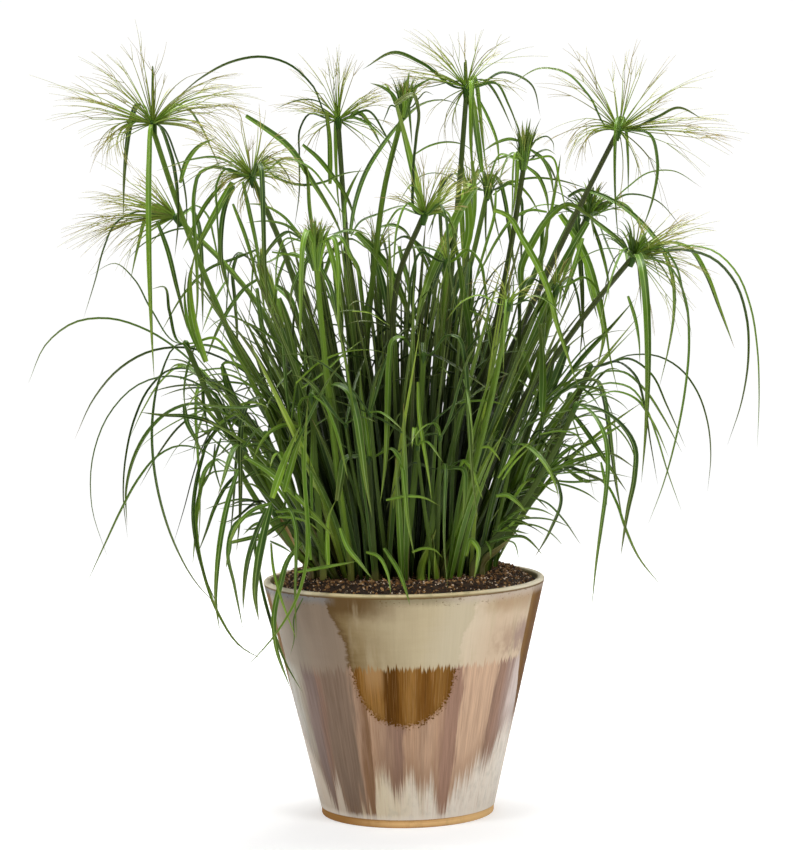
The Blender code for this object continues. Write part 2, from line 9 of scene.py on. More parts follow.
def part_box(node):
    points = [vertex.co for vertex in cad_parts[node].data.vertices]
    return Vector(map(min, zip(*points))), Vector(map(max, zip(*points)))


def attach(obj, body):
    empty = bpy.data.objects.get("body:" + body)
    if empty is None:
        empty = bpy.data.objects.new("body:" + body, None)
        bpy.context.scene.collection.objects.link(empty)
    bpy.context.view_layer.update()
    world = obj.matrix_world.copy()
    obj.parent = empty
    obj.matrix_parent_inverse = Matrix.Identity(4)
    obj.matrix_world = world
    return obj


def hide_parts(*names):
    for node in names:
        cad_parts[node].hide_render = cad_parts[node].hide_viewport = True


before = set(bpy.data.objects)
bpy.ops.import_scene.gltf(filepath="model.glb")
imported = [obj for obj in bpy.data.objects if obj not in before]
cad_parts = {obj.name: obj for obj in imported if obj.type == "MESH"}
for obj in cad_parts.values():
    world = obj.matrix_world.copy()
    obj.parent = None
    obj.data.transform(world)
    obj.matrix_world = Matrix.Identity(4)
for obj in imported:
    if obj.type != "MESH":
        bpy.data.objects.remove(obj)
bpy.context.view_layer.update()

# A potted papyrus. Every stem, leaf and ray of the frame is read as a line with a width, and
# is drawn again here with its real section. The threads, the young growth inside the clump,
# the dry sheaths and the grains of the potting mix are added around those lines.
# Metres, +Z up, the origin under the middle of the pot; -Y faces the camera.

mm = 0.001
upward = np.array([0.0, 0.0, 1.0])


# Small helpers for materials and for new objects

def paint(red, green, blue):
    # a colour as it shows on a screen, 0 to 255, in the shader's own linear values
    values = [value / 255 for value in (red, green, blue)]
    linear = [v / 12.92 if v <= 0.04045 else ((v + 0.055) / 1.055) ** 2.4 for v in values]
    return (*linear, 1)


class Wire:
    # an output socket that can be added, multiplied and so on, as a number can
    def __init__(self, nodes, socket):
        self.nodes, self.socket = nodes, socket

    def __add__(self, other):
        return self.nodes.calc("ADD", self, other)

    def __sub__(self, other):
        return self.nodes.calc("SUBTRACT", self, other)

    def __mul__(self, other):
        return self.nodes.calc("MULTIPLY", self, other)

    def __truediv__(self, other):
        return self.nodes.calc("DIVIDE", self, other)

    def __pow__(self, other):
        return self.nodes.calc("POWER", self, other)

    def __abs__(self):
        return self.nodes.calc("ABSOLUTE", self)


class Nodes:
    # a node tree with a short call for each kind of node that is used below
    def __init__(self, tree):
        self.tree = tree

    def add(self, kind, inputs=None, output=None, **settings):
        node = self.tree.nodes.new(kind)
        for key, value in settings.items():
            setattr(node, key, value)
        for key, value in (inputs or {}).items():
            self.feed(node.inputs[key], value)
        return node if output is None else Wire(self, node.outputs[output])

    def feed(self, socket, value):
        if isinstance(value, Wire):
            self.tree.links.new(value.socket, socket)
        else:
            socket.default_value = value

    def calc(self, operation, *values):
        return self.add("ShaderNodeMath", dict(enumerate(values)), 0, operation=operation)

    def mix(self, factor, first, second, blend="MIX"):
        inputs = {0: factor, 6: first, 7: second}
        return self.add("ShaderNodeMix", inputs, 2, data_type="RGBA", blend_type=blend)

    def ramp(self, factor, stops):
        node = self.add("ShaderNodeValToRGB", {"Fac": factor})
        ladder = node.color_ramp
        while len(ladder.elements) < len(stops):
            ladder.elements.new(0.5)
        for element, (position, colour) in zip(ladder.elements, stops):
            element.position = position
            element.color = colour
        return Wire(self, node.outputs["Color"])

    def noise(self, vector, scale, detail=3.0, roughness=0.55):
        inputs = {"Vector": vector, "Scale": scale, "Detail": detail, "Roughness": roughness}
        return self.add("ShaderNodeTexNoise", inputs, "Fac")

    def place(self):
        return self.add("ShaderNodeTexCoord", output="Object")

    def join(self, x, y, z):
        return self.add("ShaderNodeCombineXYZ", {0: x, 1: y, 2: z}, 0)

    def split(self, vector):
        node = self.add("ShaderNodeSeparateXYZ", {0: vector})
        return [Wire(self, socket) for socket in node.outputs]

    def smooth(self, value, low, high, start=0.0, end=1.0, kind="SMOOTHSTEP"):
        inputs = {"Value": value, "From Min": low, "From Max": high, "To Min": start, "To Max": end}
        return self.add("ShaderNodeMapRange", inputs, "Result", interpolation_type=kind)

    def marks(self):
        # what the swept pieces carry: "lie" along, across and tone, and "dry"
        lie = self.add("ShaderNodeAttribute", output="Vector", attribute_name="lie")
        return *self.split(lie), self.add("ShaderNodeAttribute", output="Fac", attribute_name="dry")

    def bump(self, height, strength, distance):
        inputs = {"Height": height, "Strength": strength, "Distance": distance}
        return self.add("ShaderNodeBump", inputs, "Normal")


class Finish(Nodes):
    # a material and its nodes
    def __init__(self, name):
        self.material = bpy.data.materials.new(name)
        self.material.use_nodes = True
        super().__init__(self.material.node_tree)

    def dress(self, **inputs):
        for key, value in inputs.items():
            self.feed(self.tree.nodes["Principled BSDF"].inputs[key.replace("_", " ")], value)
        return self.material


def addObject(name, data):
    thing = bpy.data.objects.new(name, data)
    bpy.context.scene.collection.objects.link(thing)
    return thing


def meshPiece(name, points, faces, finishes, lie=None, dry=None, kinds=None, sharp=None, smooth=True):
    # lie and dry are the marks of swept pieces, kinds the finish of each face, sharp in degrees
    mesh = bpy.data.meshes.new(name)
    mesh.from_pydata(points, [], faces)
    if lie is not None:
        mesh.attributes.new("lie", "FLOAT_VECTOR", "POINT").data.foreach_set("vector", lie.ravel())
        mesh.attributes.new("dry", "FLOAT", "POINT").data.foreach_set("value", dry)
    for finish in finishes:
        mesh.materials.append(finish)
    if kinds:
        mesh.polygons.foreach_set("material_index", kinds)
    if smooth:
        mesh.shade_smooth()
    if sharp:
        mesh.set_sharp_from_angle(angle=math.radians(sharp))
    return addObject(name, mesh)


def settle(thing, slot, *nodes):
    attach(thing, "root")
    if nodes:
        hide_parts(*nodes)


# Small helpers for directions

def unit(vectors):
    return vectors / np.maximum(np.linalg.norm(vectors, axis=-1, keepdims=True), 1e-9)


def fullTurn(count):
    return np.arange(count) / count * 2 * math.pi


def outwards(angle):
    # level directions, as an angle from +X towards +Y
    return np.stack([np.cos(angle), np.sin(angle), 0 * angle], -1)


goldenAngle = math.radians(137.5)


def whorl(axis, count, scatter, rng):
    # directions square to an axis, one golden angle after another
    heading = np.arange(count) * goldenAngle + rng.normal(0, scatter, count)
    across = unit(np.cross(axis, np.array([0.2, 0.9, 0.1])))
    return across * np.cos(heading)[:, None] + np.cross(axis, across) * np.sin(heading)[:, None]


# Camera, light and floor

cameraSetup = {
    "picture": (795, 850),
    "eye": (-0.004, -3.0, 0.63),
    "aim": (-0.004, 0.0, 0.4155),
    "lens": 119.56,
    "sensor": 36,        # mm, on the long side
    "roll": -1.0,        # degrees; the picture leans a little to the left
}

studio = {
    "backdrop": 1.02,                     # what is seen behind the plant
    "fill": {"near": 0.13, "far": 0.32, "low": 0.55, "high": 1.25},     # what lights it from all round
    "leftBox": {"place": (-2.0, -1.5, 1.9), "aim": (0, 0, 0.42), "size": (1.0, 1.7), "power": 39},
    "rightBox": {"place": (1.7, -1.9, 1.6), "aim": (0, 0, 0.42), "size": (1.0, 1.7), "power": 44},
    "topBox": {"place": (0.1, 0.5, 2.7), "aim": (0, 0, 0.5), "size": (1.3, 1.0), "power": 88},
    "floorRadius": 2.5,
    "floorCorners": 96,
    "floorTone": (0.70, 0.70, 0.70, 1),
    "floorGlow": (0.43, 0.63),            # near the pot and far off, so that the paper stays white
    "floorReach": (0.4, 2.3),             # where near ends and far begins
    "floorShare": 0.3,                    # of that glow, what lights the plant
}


def lookFrom(place, aim):
    # the matrix of a camera or a lamp that stands at a place and faces another
    turn = (Vector(aim) - Vector(place)).to_track_quat("-Z", "Y").to_matrix().to_4x4()
    return Matrix.Translation(place) @ turn


def makeCamera():
    data = bpy.data.cameras.new("photoCamera")
    data.lens = cameraSetup["lens"]
    data.sensor_width = cameraSetup["sensor"]
    data.clip_end = 50
    camera = addObject("photoCamera", data)
    roll = Matrix.Rotation(math.radians(cameraSetup["roll"]), 4, "Z")
    camera.matrix_world = lookFrom(cameraSetup["eye"], cameraSetup["aim"]) @ roll
    bpy.context.scene.camera = camera


def onPicture(spots, depths):
    # where places in the picture lie, at these distances behind the pot's axis
    eye, aim = np.array(cameraSetup["eye"]), np.array(cameraSetup["aim"])
    wide, tall = cameraSetup["picture"]
    ahead = unit(aim - eye)
    right = unit(np.cross(ahead, upward))
    over = np.cross(right, ahead)
    roll = math.radians(cameraSetup["roll"])
    x, y = spots[:, 0] - wide / 2, tall / 2 - spots[:, 1]
    across = x * math.cos(roll) - y * math.sin(roll)
    above = x * math.sin(roll) + y * math.cos(roll)
    focus = cameraSetup["lens"] / cameraSetup["sensor"] * tall
    ways = right * across[:, None] + over * above[:, None] + ahead * focus
    return eye + ways * ((depths - eye[1]) / ways[:, 1])[:, None]


def makeSoftbox(name, setup):
    data = bpy.data.lights.new(name, "AREA")
    data.shape = "RECTANGLE"
    data.size, data.size_y = setup["size"]
    data.energy = setup["power"]
    addObject(name, data).matrix_world = lookFrom(setup["place"], setup["aim"])


def makeBackdrop():
    world = bpy.data.worlds.new("paleStudio")
    world.use_nodes = True
    g = Nodes(world.node_tree)
    # the fill is dimmer on the camera's side and from below, as in a room with a dark front
    fill = studio["fill"]
    _, y, z = g.split(g.add("ShaderNodeTexCoord", output="Generated"))
    strength = (g.smooth(y, -1.0, 1.0, fill["near"], fill["far"], "LINEAR")
                * g.smooth(z, -1.0, 1.0, fill["low"], fill["high"], "LINEAR"))
    seen = g.add("ShaderNodeBackground", {"Color": (1, 1, 1, 1), "Strength": studio["backdrop"]}, 0)
    lighting = g.add("ShaderNodeBackground", {"Strength": strength}, 0)
    direct = g.add("ShaderNodeLightPath", output="Is Camera Ray")
    both = g.add("ShaderNodeMixShader", {0: direct, 1: lighting, 2: seen}, 0)
    g.feed(g.tree.nodes["World Output"].inputs["Surface"], both)
    bpy.context.scene.world = world


def makeFloor():
    mesh = bpy.data.meshes.new("studioFloor")
    rim = outwards(fullTurn(studio["floorCorners"])) * studio["floorRadius"]
    mesh.from_pydata(rim, [], [tuple(range(len(rim)))])
    g = Finish("palePaper")
    away = g.add("ShaderNodeVectorMath", {0: g.place()}, "Value", operation="LENGTH")
    direct = g.add("ShaderNodeLightPath", output="Is Camera Ray")
    share = g.smooth(direct, 0.0, 1.0, studio["floorShare"], 1.0)
    glow = g.smooth(away, *studio["floorReach"], *studio["floorGlow"]) * share
    paper = g.dress(Base_Color=studio["floorTone"], Roughness=0.9, Specular_IOR_Level=0.1,
                    Emission_Color=(1, 1, 1, 1), Emission_Strength=glow)
    mesh.materials.append(paper)
    floor = addObject("studioFloor", mesh)


def makeStudio():
    makeBackdrop()
    for name in ("leftBox", "rightBox", "topBox"):
        makeSoftbox(name, studio[name])
    makeFloor()
    bpy.context.scene.view_settings.view_transform = "Standard"


makeCamera()
makeStudio()
print("camera, light and floor are set")


# Swept pieces carry two marks at every point. "lie": the share of the length, the place across
# from -1 to 1, and the strand's own tone. "dry": how far it has dried to straw.

# Painted shade: the heart of the clump is painted darker, where the leaves shade one another. How far
# that reaches out and up, in metres
heartShade = {
    "ground": 0.25,
    "radius": (0.125, 0.40),     # at the ground, and what it gains with the height
    "fullOut": 0.36,             # share of that radius inside which it is fully dark
    "heights": (0.40, 0.62),
    "shade": paint(10, 17, 6),
    "strength": 0.84,
}


# painted shade, darker towards the middle of the clump and low down
def paintHeartShade(g, colour):
    x, y, z = g.split(g.place())
    first, gain = heartShade["radius"]
    edge = (z - heartShade["ground"]) * gain + first
    inner = g.smooth((x * x + y * y) ** 0.5 / edge, heartShade["fullOut"], 1.0, 1.0, 0.0)
    low = g.smooth(z, *heartShade["heights"], 1.0, 0.0)
    return g.mix(inner * low * heartShade["strength"], colour, heartShade["shade"])


bladeFinish = {
    "tones": [(0.0, paint(24, 45, 5)), (0.35, paint(62, 97, 14)), (0.7, paint(110, 148, 27)),
              (1.0, paint(164, 190, 56))],
    # painted shade on one half of each folded blade
    "shadedHalf": (0.50, 0.58, 0.40, 1),
    "tip": paint(132, 132, 62),
    "straw": [(0.0, paint(96, 74, 42)), (0.5, paint(150, 120, 72)), (1.0, paint(196, 168, 116))],
    "veins": 9,          # pairs of fine veins across a blade
    "vein": paint(30, 52, 18),
    # the pale rib and edges are partly painted highlight
    "rib": paint(176, 200, 120),
    "paleRibAndHighlight": 0.42,
    "edge": paint(172, 188, 108),
    "gloss": 0.26,
    "roughness": (0.30, 0.46),
}


def makeBladeFinish():
    g = Finish("sedgeBlade")
    look = bladeFinish
    along, across, tone, dry = g.marks()
    streak = g.noise(g.join(across * 2.6, along * 1.3, tone * 37.0), 2.2)
    shade = tone + (streak - 0.5) * 0.55 + g.smooth(along, 0.0, 0.10, 0.10, 0.0)
    colour = g.ramp(shade, look["tones"])
    colour = g.mix(g.smooth(along, 0.35, 1.0, 0.0, 0.38), colour, look["tip"])
    # painted shade: one half of each folded blade is painted darker, as if it lay in the other half's
    # shade
    deep = g.mix(1.0, colour, look["shadedHalf"], "MULTIPLY")
    colour = g.mix(g.smooth(across, -0.12, 0.12, 0.0, 0.8), colour, deep)
    # a pale midrib and pale edges, partly the blade's own colour and partly painted highlight lines
    # along them, and fine dark veins
    middle = abs(across)
    colour = g.mix(g.smooth(middle, 0.05, 0.20, look["paleRibAndHighlight"], 0.0), colour, look["rib"])
    colour = g.mix(g.smooth(middle, 0.78, 1.0, 0.0, 0.40), colour, look["edge"])
    veins = g.calc("SINE", across * (look["veins"] * math.pi))
    colour = g.mix(veins * 0.06 + 0.06, colour, look["vein"])
    # straw where a blade has dried, then painted shade in the heart of the clump
    colour = paintHeartShade(g, g.mix(dry, colour, g.ramp(streak, look["straw"])))
    return g.dress(Base_Color=colour, Roughness=g.smooth(streak, 0.3, 0.7, *look["roughness"]),
                   Normal=g.bump(veins * 0.5 + streak, 0.35, 0.0006), Specular_IOR_Level=look["gloss"])


stemFinish = {
    "tones": [(0.0, paint(38, 43, 8)), (0.35, paint(54, 74, 13)), (0.7, paint(90, 121, 24)),
              (1.0, paint(134, 160, 46))],
    "foot": paint(112, 104, 50),
    "ribs": 26,
    "rib": paint(150, 168, 96),
    "gloss": 0.18,
    "roughness": (0.32, 0.48),
}


def makeStemFinish():
    g = Finish("sedgeStem")
    look = stemFinish
    along, around, tone, _ = g.marks()
    streak = g.noise(g.join(around * 5.0, along * 2.2, tone * 31.0), 2.0, 4.0)
    colour = g.ramp(tone + (streak - 0.5) * 0.5, look["tones"])
    ribs = g.calc("SINE", around * (look["ribs"] * math.pi))
    colour = g.mix(ribs * 0.08 + 0.08, colour, look["rib"])
    # a browner foot, then painted shade in the heart of the clump
    colour = paintHeartShade(g, g.mix(g.smooth(along, 0.0, 0.14, 0.75, 0.0), colour, look["foot"]))
    return g.dress(Base_Color=colour, Roughness=g.smooth(streak, 0.3, 0.7, *look["roughness"]),
                   Normal=g.bump(ribs * 0.4 + streak, 0.4, 0.0008), Specular_IOR_Level=look["gloss"])


threadFinish = {
    "fresh": [(0.0, paint(104, 140, 40)), (0.35, paint(132, 156, 56)), (0.7, paint(160, 168, 80)),
              (1.0, paint(184, 180, 112))],
    "aged": [(0.0, paint(92, 112, 36)), (0.35, paint(116, 122, 48)), (0.7, paint(142, 132, 66)),
             (1.0, paint(166, 148, 92))],
    "fleck": paint(84, 60, 34),
    "gloss": 0.2,
    "roughness": (0.42, 0.6),
}


def makeThreadFinish():
    g = Finish("papyrusThread")
    along, _, tone, _ = g.marks()
    fresh, aged = (g.ramp(along, threadFinish[name]) for name in ("fresh", "aged"))
    fleck = g.noise(g.join(along * 30.0, tone * 90.0, 0.0), 1.0)
    colour = g.mix(g.smooth(tone, 0.25, 0.85), fresh, aged)
    colour = g.mix(g.smooth(fleck, 0.5, 0.7, 0.0, 0.35), colour, threadFinish["fleck"])
    return g.dress(Base_Color=colour, Roughness=g.smooth(fleck, 0.3, 0.7, *threadFinish["roughness"]),
                   Specular_IOR_Level=threadFinish["gloss"])


seeds = {"culm": 100, "crown": 200, "shoot": 300, "young": 400, "grain": 500, "wall": 600, "seen": 700,
         "fan": 800}


# Lines and sweeps: arrays of strands x rings x 3

def framesAlong(spine, hint):
    # the direction, the side and the upper face at every ring; hint is close to the side
    ahead = unit(np.gradient(spine, axis=-2))
    side = unit(hint - ahead * (hint * ahead).sum(-1, keepdims=True))
    return side, np.cross(ahead, side)


def turned(side, up, angle):
    # side and upper face turned about the strand
    cosine, sine = np.cos(angle)[..., None], np.sin(angle)[..., None]
    return side * cosine + up * sine, up * cosine - side * sine


def bezier(start, leaving, arriving, tip, rings):
    # curves that set out along one vector and come in along another
    share = np.linspace(0, 1, rings)[:, None]
    rest = 1 - share
    return (rest ** 3 * start[:, None] + 3 * rest ** 2 * share * (start + leaving)[:, None]
            + 3 * rest * share ** 2 * (tip - arriving)[:, None] + share ** 3 * tip[:, None])


def readAt(spots, knots, values):
    # values that are known at the knots, read at other spots between them
    return np.stack([np.interp(spots, knots, column) for column in values.T], -1)


def smoothThrough(points, count, *others):
    # count points on a smooth curve through the given ones, and what goes with them
    chords = np.linalg.norm(np.diff(points, axis=0), axis=1)
    knots = np.concatenate([[0], np.cumsum(chords)])
    slopes = np.gradient(points, knots, axis=0)
    spots = np.linspace(0, knots[-1], count)
    piece = np.clip(np.searchsorted(knots, spots, side="right") - 1, 0, len(chords) - 1)
    t = ((spots - knots[piece]) / chords[piece])[:, None]
    span = chords[piece][:, None]
    curve = ((1 + 2 * t) * (1 - t) ** 2 * points[piece] + t * (1 - t) ** 2 * span * slopes[piece]
             + t * t * (3 - 2 * t) * points[piece + 1] - t * t * (1 - t) * span * slopes[piece + 1])
    return curve, *(readAt(spots, knots, other) for other in others)


class Bundle:
    # swept strands, gathered into one mesh
    sharp = 55           # degrees

    def __init__(self):
        self.points, self.lie, self.dry = [], [], []
        self.quads, self.caps, self.kinds, self.capKinds = [], [], [], []
        self.size = 0

    def sweep(self, spine, side, up, section, across, along, tone, dry, kind=0):
        shape = strands, rings, corners = section.shape[:3]
        points = (spine[:, :, None] + side[:, :, None] * section[..., :1]
                  + up[:, :, None] * section[..., 1:])
        corner = np.arange(corners)
        after = (corner + 1) % corners
        start = self.size + np.arange(strands)[:, None] * rings * corners
        first = start[:, None] + np.arange(rings - 1)[:, None] * corners
        quads = np.stack([first + corner, first + after, first + corners + after,
                          first + corners + corner], -1).reshape(-1, 4)
        caps = np.concatenate([start + corner[::-1], start + (rings - 1) * corners + corner])
        self.points.append(points.reshape(-1, 3))
        self.quads += quads.tolist()
        self.caps += caps.tolist()
        lie = np.stack([np.broadcast_to(part, shape) for part in (along, across, tone)], -1)
        self.lie.append(lie.reshape(-1, 3))
        self.dry.append(np.broadcast_to(dry, shape).reshape(-1))
        self.kinds += [kind] * len(quads)
        self.capKinds += [kind] * len(caps)
        self.size += strands * rings * corners

    def piece(self, name, *finishes):
        points, lie, dry = (np.concatenate(part) for part in (self.points, self.lie, self.dry))
        return meshPiece(name, points, self.quads + self.caps, finishes, lie, dry,
                         self.kinds + self.capKinds, self.sharp)


# Reading the frame: welded points, then the rings of three corners along each strand

weldStep = 0.02 * mm
footGap = 0.3 * mm
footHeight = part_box("soil")[1].z + footGap
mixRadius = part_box("soil")[1].x


def weldedNet(node):
    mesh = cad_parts[node].data
    corners = np.array([vert.co for vert in mesh.vertices])
    keys, index = np.unique(np.round(corners / weldStep).astype(int), axis=0, return_inverse=True)
    index = index.ravel()
    points = np.zeros((len(keys), 3))
    points[index] = corners
    near = [set() for _ in keys]
    for face in mesh.polygons:
        spots = {int(index[vert]) for vert in face.vertices}
        for spot in spots:
            near[spot] |= spots - {spot}
    return points, near


def footOf(points):
    # the three corners that stand on the potting mix; leaves outside the pot may hang lower
    level = np.abs(points[:, 2] - footHeight) < 0.1 * mm
    inside = np.hypot(points[:, 0], points[:, 1]) < mixRadius
    return [int(spot) for spot in np.flatnonzero(level & inside)]


def walkRings(start, near):
    # from a strand's free end inwards, for as long as the next points are three
    seen, ring, rings = set(start), set(start), []
    while True:
        onward = set().union(*(near[spot] for spot in ring)) - seen
        if len(onward) != 3:
            return rings
        rings.append(sorted(onward))
        seen |= onward
        ring = onward


def readTube(points, rings):
    # the middle, the radius and the direction of one corner, ring by ring
    middles = np.array([points[ring].mean(0) for ring in rings])
    spokes = points[rings[0]][0] - middles[0]
    hints, radii = [], []
    for ring, middle in zip(rings, middles):
        corners = points[ring] - middle
        spokes = corners[np.argmax(corners @ spokes)]
        hints.append(spokes / np.linalg.norm(spokes))
        radii.append(np.linalg.norm(corners, axis=1).mean())
    return middles, np.array(hints), np.array(radii)[:, None]


def readBlade(points, rings):
    # the middle, the upper face and the width of a keeled blade; its edges are the corners
    # that lie furthest apart, and the third is the keel
    middles, ups, widths = [], [], []
    for ring in rings:
        corners = points[ring]
        gaps = [np.linalg.norm(corners[k - 1] - corners[k - 2]) for k in range(3)]
        keel = int(np.argmax(gaps))
        middle = (corners[keel - 1] + corners[keel - 2]) / 2
        middles.append(middle)
        ups.append(unit(middle - corners[keel]))
        widths.append([gaps[keel]])
    return np.array(middles), np.array(ups), np.array(widths)


def readPlant(node):
    # the knot of a crown or shoot, with its stem if it has one, its blades and its rays
    points, near = weldedNet(node)
    plant = {"blades": [], "rays": []}
    used = set()
    foot = footOf(points)
    if foot:
        rings = [foot] + walkRings(foot, near)[:-1]
        plant["stem"] = readTube(points, rings)
        used.update(*rings)
    for tip, close in enumerate(near):
        if len(close) != 3 or tip in used:
            continue
        rings = walkRings([tip], near)[:-1][::-1]
        used.update({tip}, *rings)
        if len(rings) == 1:
            plant["rays"].append(points[tip])
        else:
            plant["blades"].append((*readBlade(points, rings), points[tip]))
    plant["knot"] = points[[spot for spot in range(len(points)) if spot not in used]].mean(0)
    return plant


# Blades: a folded section with a channel above and a keel below, widest a third of the way out

bladeShape = {
    "rings": 30,
    "section": ((1, 0.15), (0.52, -0.12), (0, -0.5), (-0.52, -0.12), (-1, 0.15), (-0.52, -0.45),
                (0, -1), (0.52, -0.45)),
    "depth": 0.30,       # of the width
    "baseWidth": 0.62,
    "widest": 0.32,
    "taper": 2.1,
    "bluntWidth": 0.72,
    "rootPull": 0.6,
    "tones": (0.12, 0.75),
    "dryTips": 0.35,     # share of the blades whose tip has dried
    "dryLength": 0.05,   # of the blade's length, how much of it
    "dryLengths": (0.02, 0.08),        # the same on the frame's own blades
    "dryBlend": 0.05,    # from green to straw
    "thinnest": 0.04 * mm,
}


def bladeWidth(share, blunt):
    grow = np.sin(np.clip(share / bladeShape["widest"], 0, 1) * math.pi / 2)
    width = bladeShape["baseWidth"] + (1 - bladeShape["baseWidth"]) * grow
    ending = np.clip((share - bladeShape["widest"]) / (1 - bladeShape["widest"]), 0, 1)
    floor = np.where(blunt, bladeShape["bluntWidth"], 0.0)
    return width * (floor + (1 - floor) * (1 - ending ** bladeShape["taper"]))


def sweepBlades(bundle, spine, hint, width, tone, tipDry, blunt=0, roll=0.0, twist=0.0, allDry=0.0):
    # spine and hint: blades x rings x 3; the rest has one value for each blade
    count, rings = spine.shape[:2]
    share = np.linspace(0, 1, rings)
    blunt, roll, twist, allDry = (np.broadcast_to(part, count)[:, None]
                                  for part in (blunt, roll, twist, allDry))
    side, up = turned(*framesAlong(spine, hint), roll + twist * share)
    half = np.maximum(width[:, None] * bladeWidth(share, blunt) / 2, bladeShape["thinnest"])
    template = np.array(bladeShape["section"])
    section = half[..., None, None] * template * np.array([1, 2 * bladeShape["depth"]])
    dry = np.clip((share - 1 + tipDry[:, None]) / bladeShape["dryBlend"], 0, 1)
    bundle.sweep(spine, side, up, section, template[:, 0], share[:, None], tone[:, None, None],
                 np.maximum(dry, allDry)[..., None])


def driedTips(count, rng, share=bladeShape["dryTips"], length=bladeShape["dryLength"]):
    return length * (rng.random(count) < share)


def bluntBlades(plant, rule):
    # which of the blades ends bluntly, if one does
    sizes = {"highest": [blade[3][2] for blade in plant["blades"]],
             "widest": [blade[2].max() for blade in plant["blades"]]}
    return [int(np.argmax(sizes[rule]))] if rule else []


def frameBlades(bundle, plant, look, rng):
    # the frame's own blades, through the same places
    spines, hints, widths = [], [], []
    knot = plant["knot"]
    for middles, ups, breadth, tip in plant["blades"]:
        first = knot + (middles[0] - knot) * bladeShape["rootPull"]
        line = np.vstack([knot, first, middles[1:], tip])
        faces = np.vstack([ups[:1], ups, ups[-1:]])
        spine, face = smoothThrough(line, bladeShape["rings"], faces)
        spines.append(spine)
        hints.append(np.cross(face, np.gradient(spine, axis=0)))
        widths.append(breadth.max())
    count = len(spines)
    blunt = np.isin(np.arange(count), bluntBlades(plant, look.get("blunt")))
    tipDry = driedTips(count, rng, length=1.0) * rng.uniform(*bladeShape["dryLengths"], count) * ~blunt
    tone = rng.uniform(*look.get("tones", bladeShape["tones"]), count)
    sweepBlades(bundle, np.array(spines), np.array(hints), np.array(widths), tone, tipDry, blunt)


def arcBlades(start, heading, rise, reach, drop, fall, bow, rings):
    # blades that set out at an angle and hang over; angles in radians, one of each per blade
    out = outwards(heading)
    start = start + 0 * out
    tip = start + out * reach[:, None] - upward * drop[:, None]
    pull = (np.linalg.norm(tip - start, axis=1) * bow)[:, None]
    leaving = out * np.cos(rise)[:, None] + upward * np.sin(rise)[:, None]
    arriving = out * np.cos(fall)[:, None] - upward * np.sin(fall)[:, None]
    spine = bezier(start, leaving * pull, arriving * pull, tip, rings)
    return spine, np.repeat(np.cross(upward, out)[:, None], rings, 1)


# The narrow bracts that stand between the long ones

bractShape = {
    "width": (1.8 * mm, 3.6 * mm),
    "reach": (35 * mm, 95 * mm),
    "drop": (-35 * mm, 75 * mm),
    "scatter": 0.3,
    "rise": (25, 70),        # degrees above level at the knot
    "fall": (45, 90),        # and below it at the tip
    "level": (-20, 25),      # the same where the tip stands above the knot
    "bow": (0.35, 0.55),
    "twist": 0.7,
    "dryTips": 0.5,
    "rings": 20,
}


def growBracts(bundle, plant, rng, count):
    if count == 0:
        return
    shape = bractShape
    heading = rng.uniform(0, 2 * math.pi) + fullTurn(count) + rng.normal(0, shape["scatter"], count)
    reach, drop = rng.uniform(*shape["reach"], count), rng.uniform(*shape["drop"], count)
    rise = np.radians(rng.uniform(*shape["rise"], count))
    hanging, level = (np.radians(rng.uniform(*shape[name], count)) for name in ("fall", "level"))
    fall = np.where(drop > 0, hanging, level)
    spine, hint = arcBlades(plant["knot"], heading, rise, reach, drop, fall,
                            rng.uniform(*shape["bow"], count), shape["rings"])
    sweepBlades(bundle, spine, hint, rng.uniform(*shape["width"], count),
                rng.uniform(*bladeShape["tones"], count), driedTips(count, rng, shape["dryTips"]),
                twist=rng.normal(0, shape["twist"], count))


# Stems: three-sided with rounded corners

stemShape = {
    "rings": 40,
    "corners": 12,
    "cornerReach": 0.90,     # of the frame's corner radius
    "flatReach": 0.60,
    "ownTones": {"culm_04": 0.22, "culm_05": 0.6, "culm_06": 0.3, "culm_07": 0.08, "culm_08": 0.0,
                 "culm_09": 0.06, "culm_12": 0.06, "culm_01": 0.6, "culm_02": 0.3, "culm_03": 0.6},
    "tones": (0.25, 0.75),
}


def sweepStem(bundle, line, hints, radii, tone, rings, kind=0):
    spine, hint, radius = smoothThrough(line, rings, hints, radii)
    side, up = framesAlong(spine[None], hint[None])
    angle = fullTurn(stemShape["corners"])
    far, near = stemShape["cornerReach"], stemShape["flatReach"]
    reach = (far + near) / 2 + (far - near) / 2 * np.cos(3 * angle)
    section = radius[None, :, None] * (reach[:, None] * outwards(angle)[:, :2])
    share = np.linspace(0, 1, rings)[:, None]
    bundle.sweep(spine[None], side, up, section, np.abs(angle / math.pi - 1), share, tone, 0.0, kind)


# Dry sheaths: papery wraps round the foot of a stem, each cut off in a slanting point

sheathShape = {
    "readings": 60,               # along the stem
    "rings": 12,
    "arcPoints": 7,
    "thickness": 0.45 * mm,
    "standOff": 0.5 * mm,
    "lengths": (30 * mm, 85 * mm),
    "longest": 0.5,               # of the stem
    "hug": 0.9,                   # of the stem's radius
    "taper": 1.6,
    "openAngle": (2.7, 0.15),     # half of the arc, at the foot and at the point
    "flare": 1.2 * mm,
    "share": 0.5,                 # of the stems
    "tones": (0.1, 0.7),
    "dry": (0.1, 0.6),
}


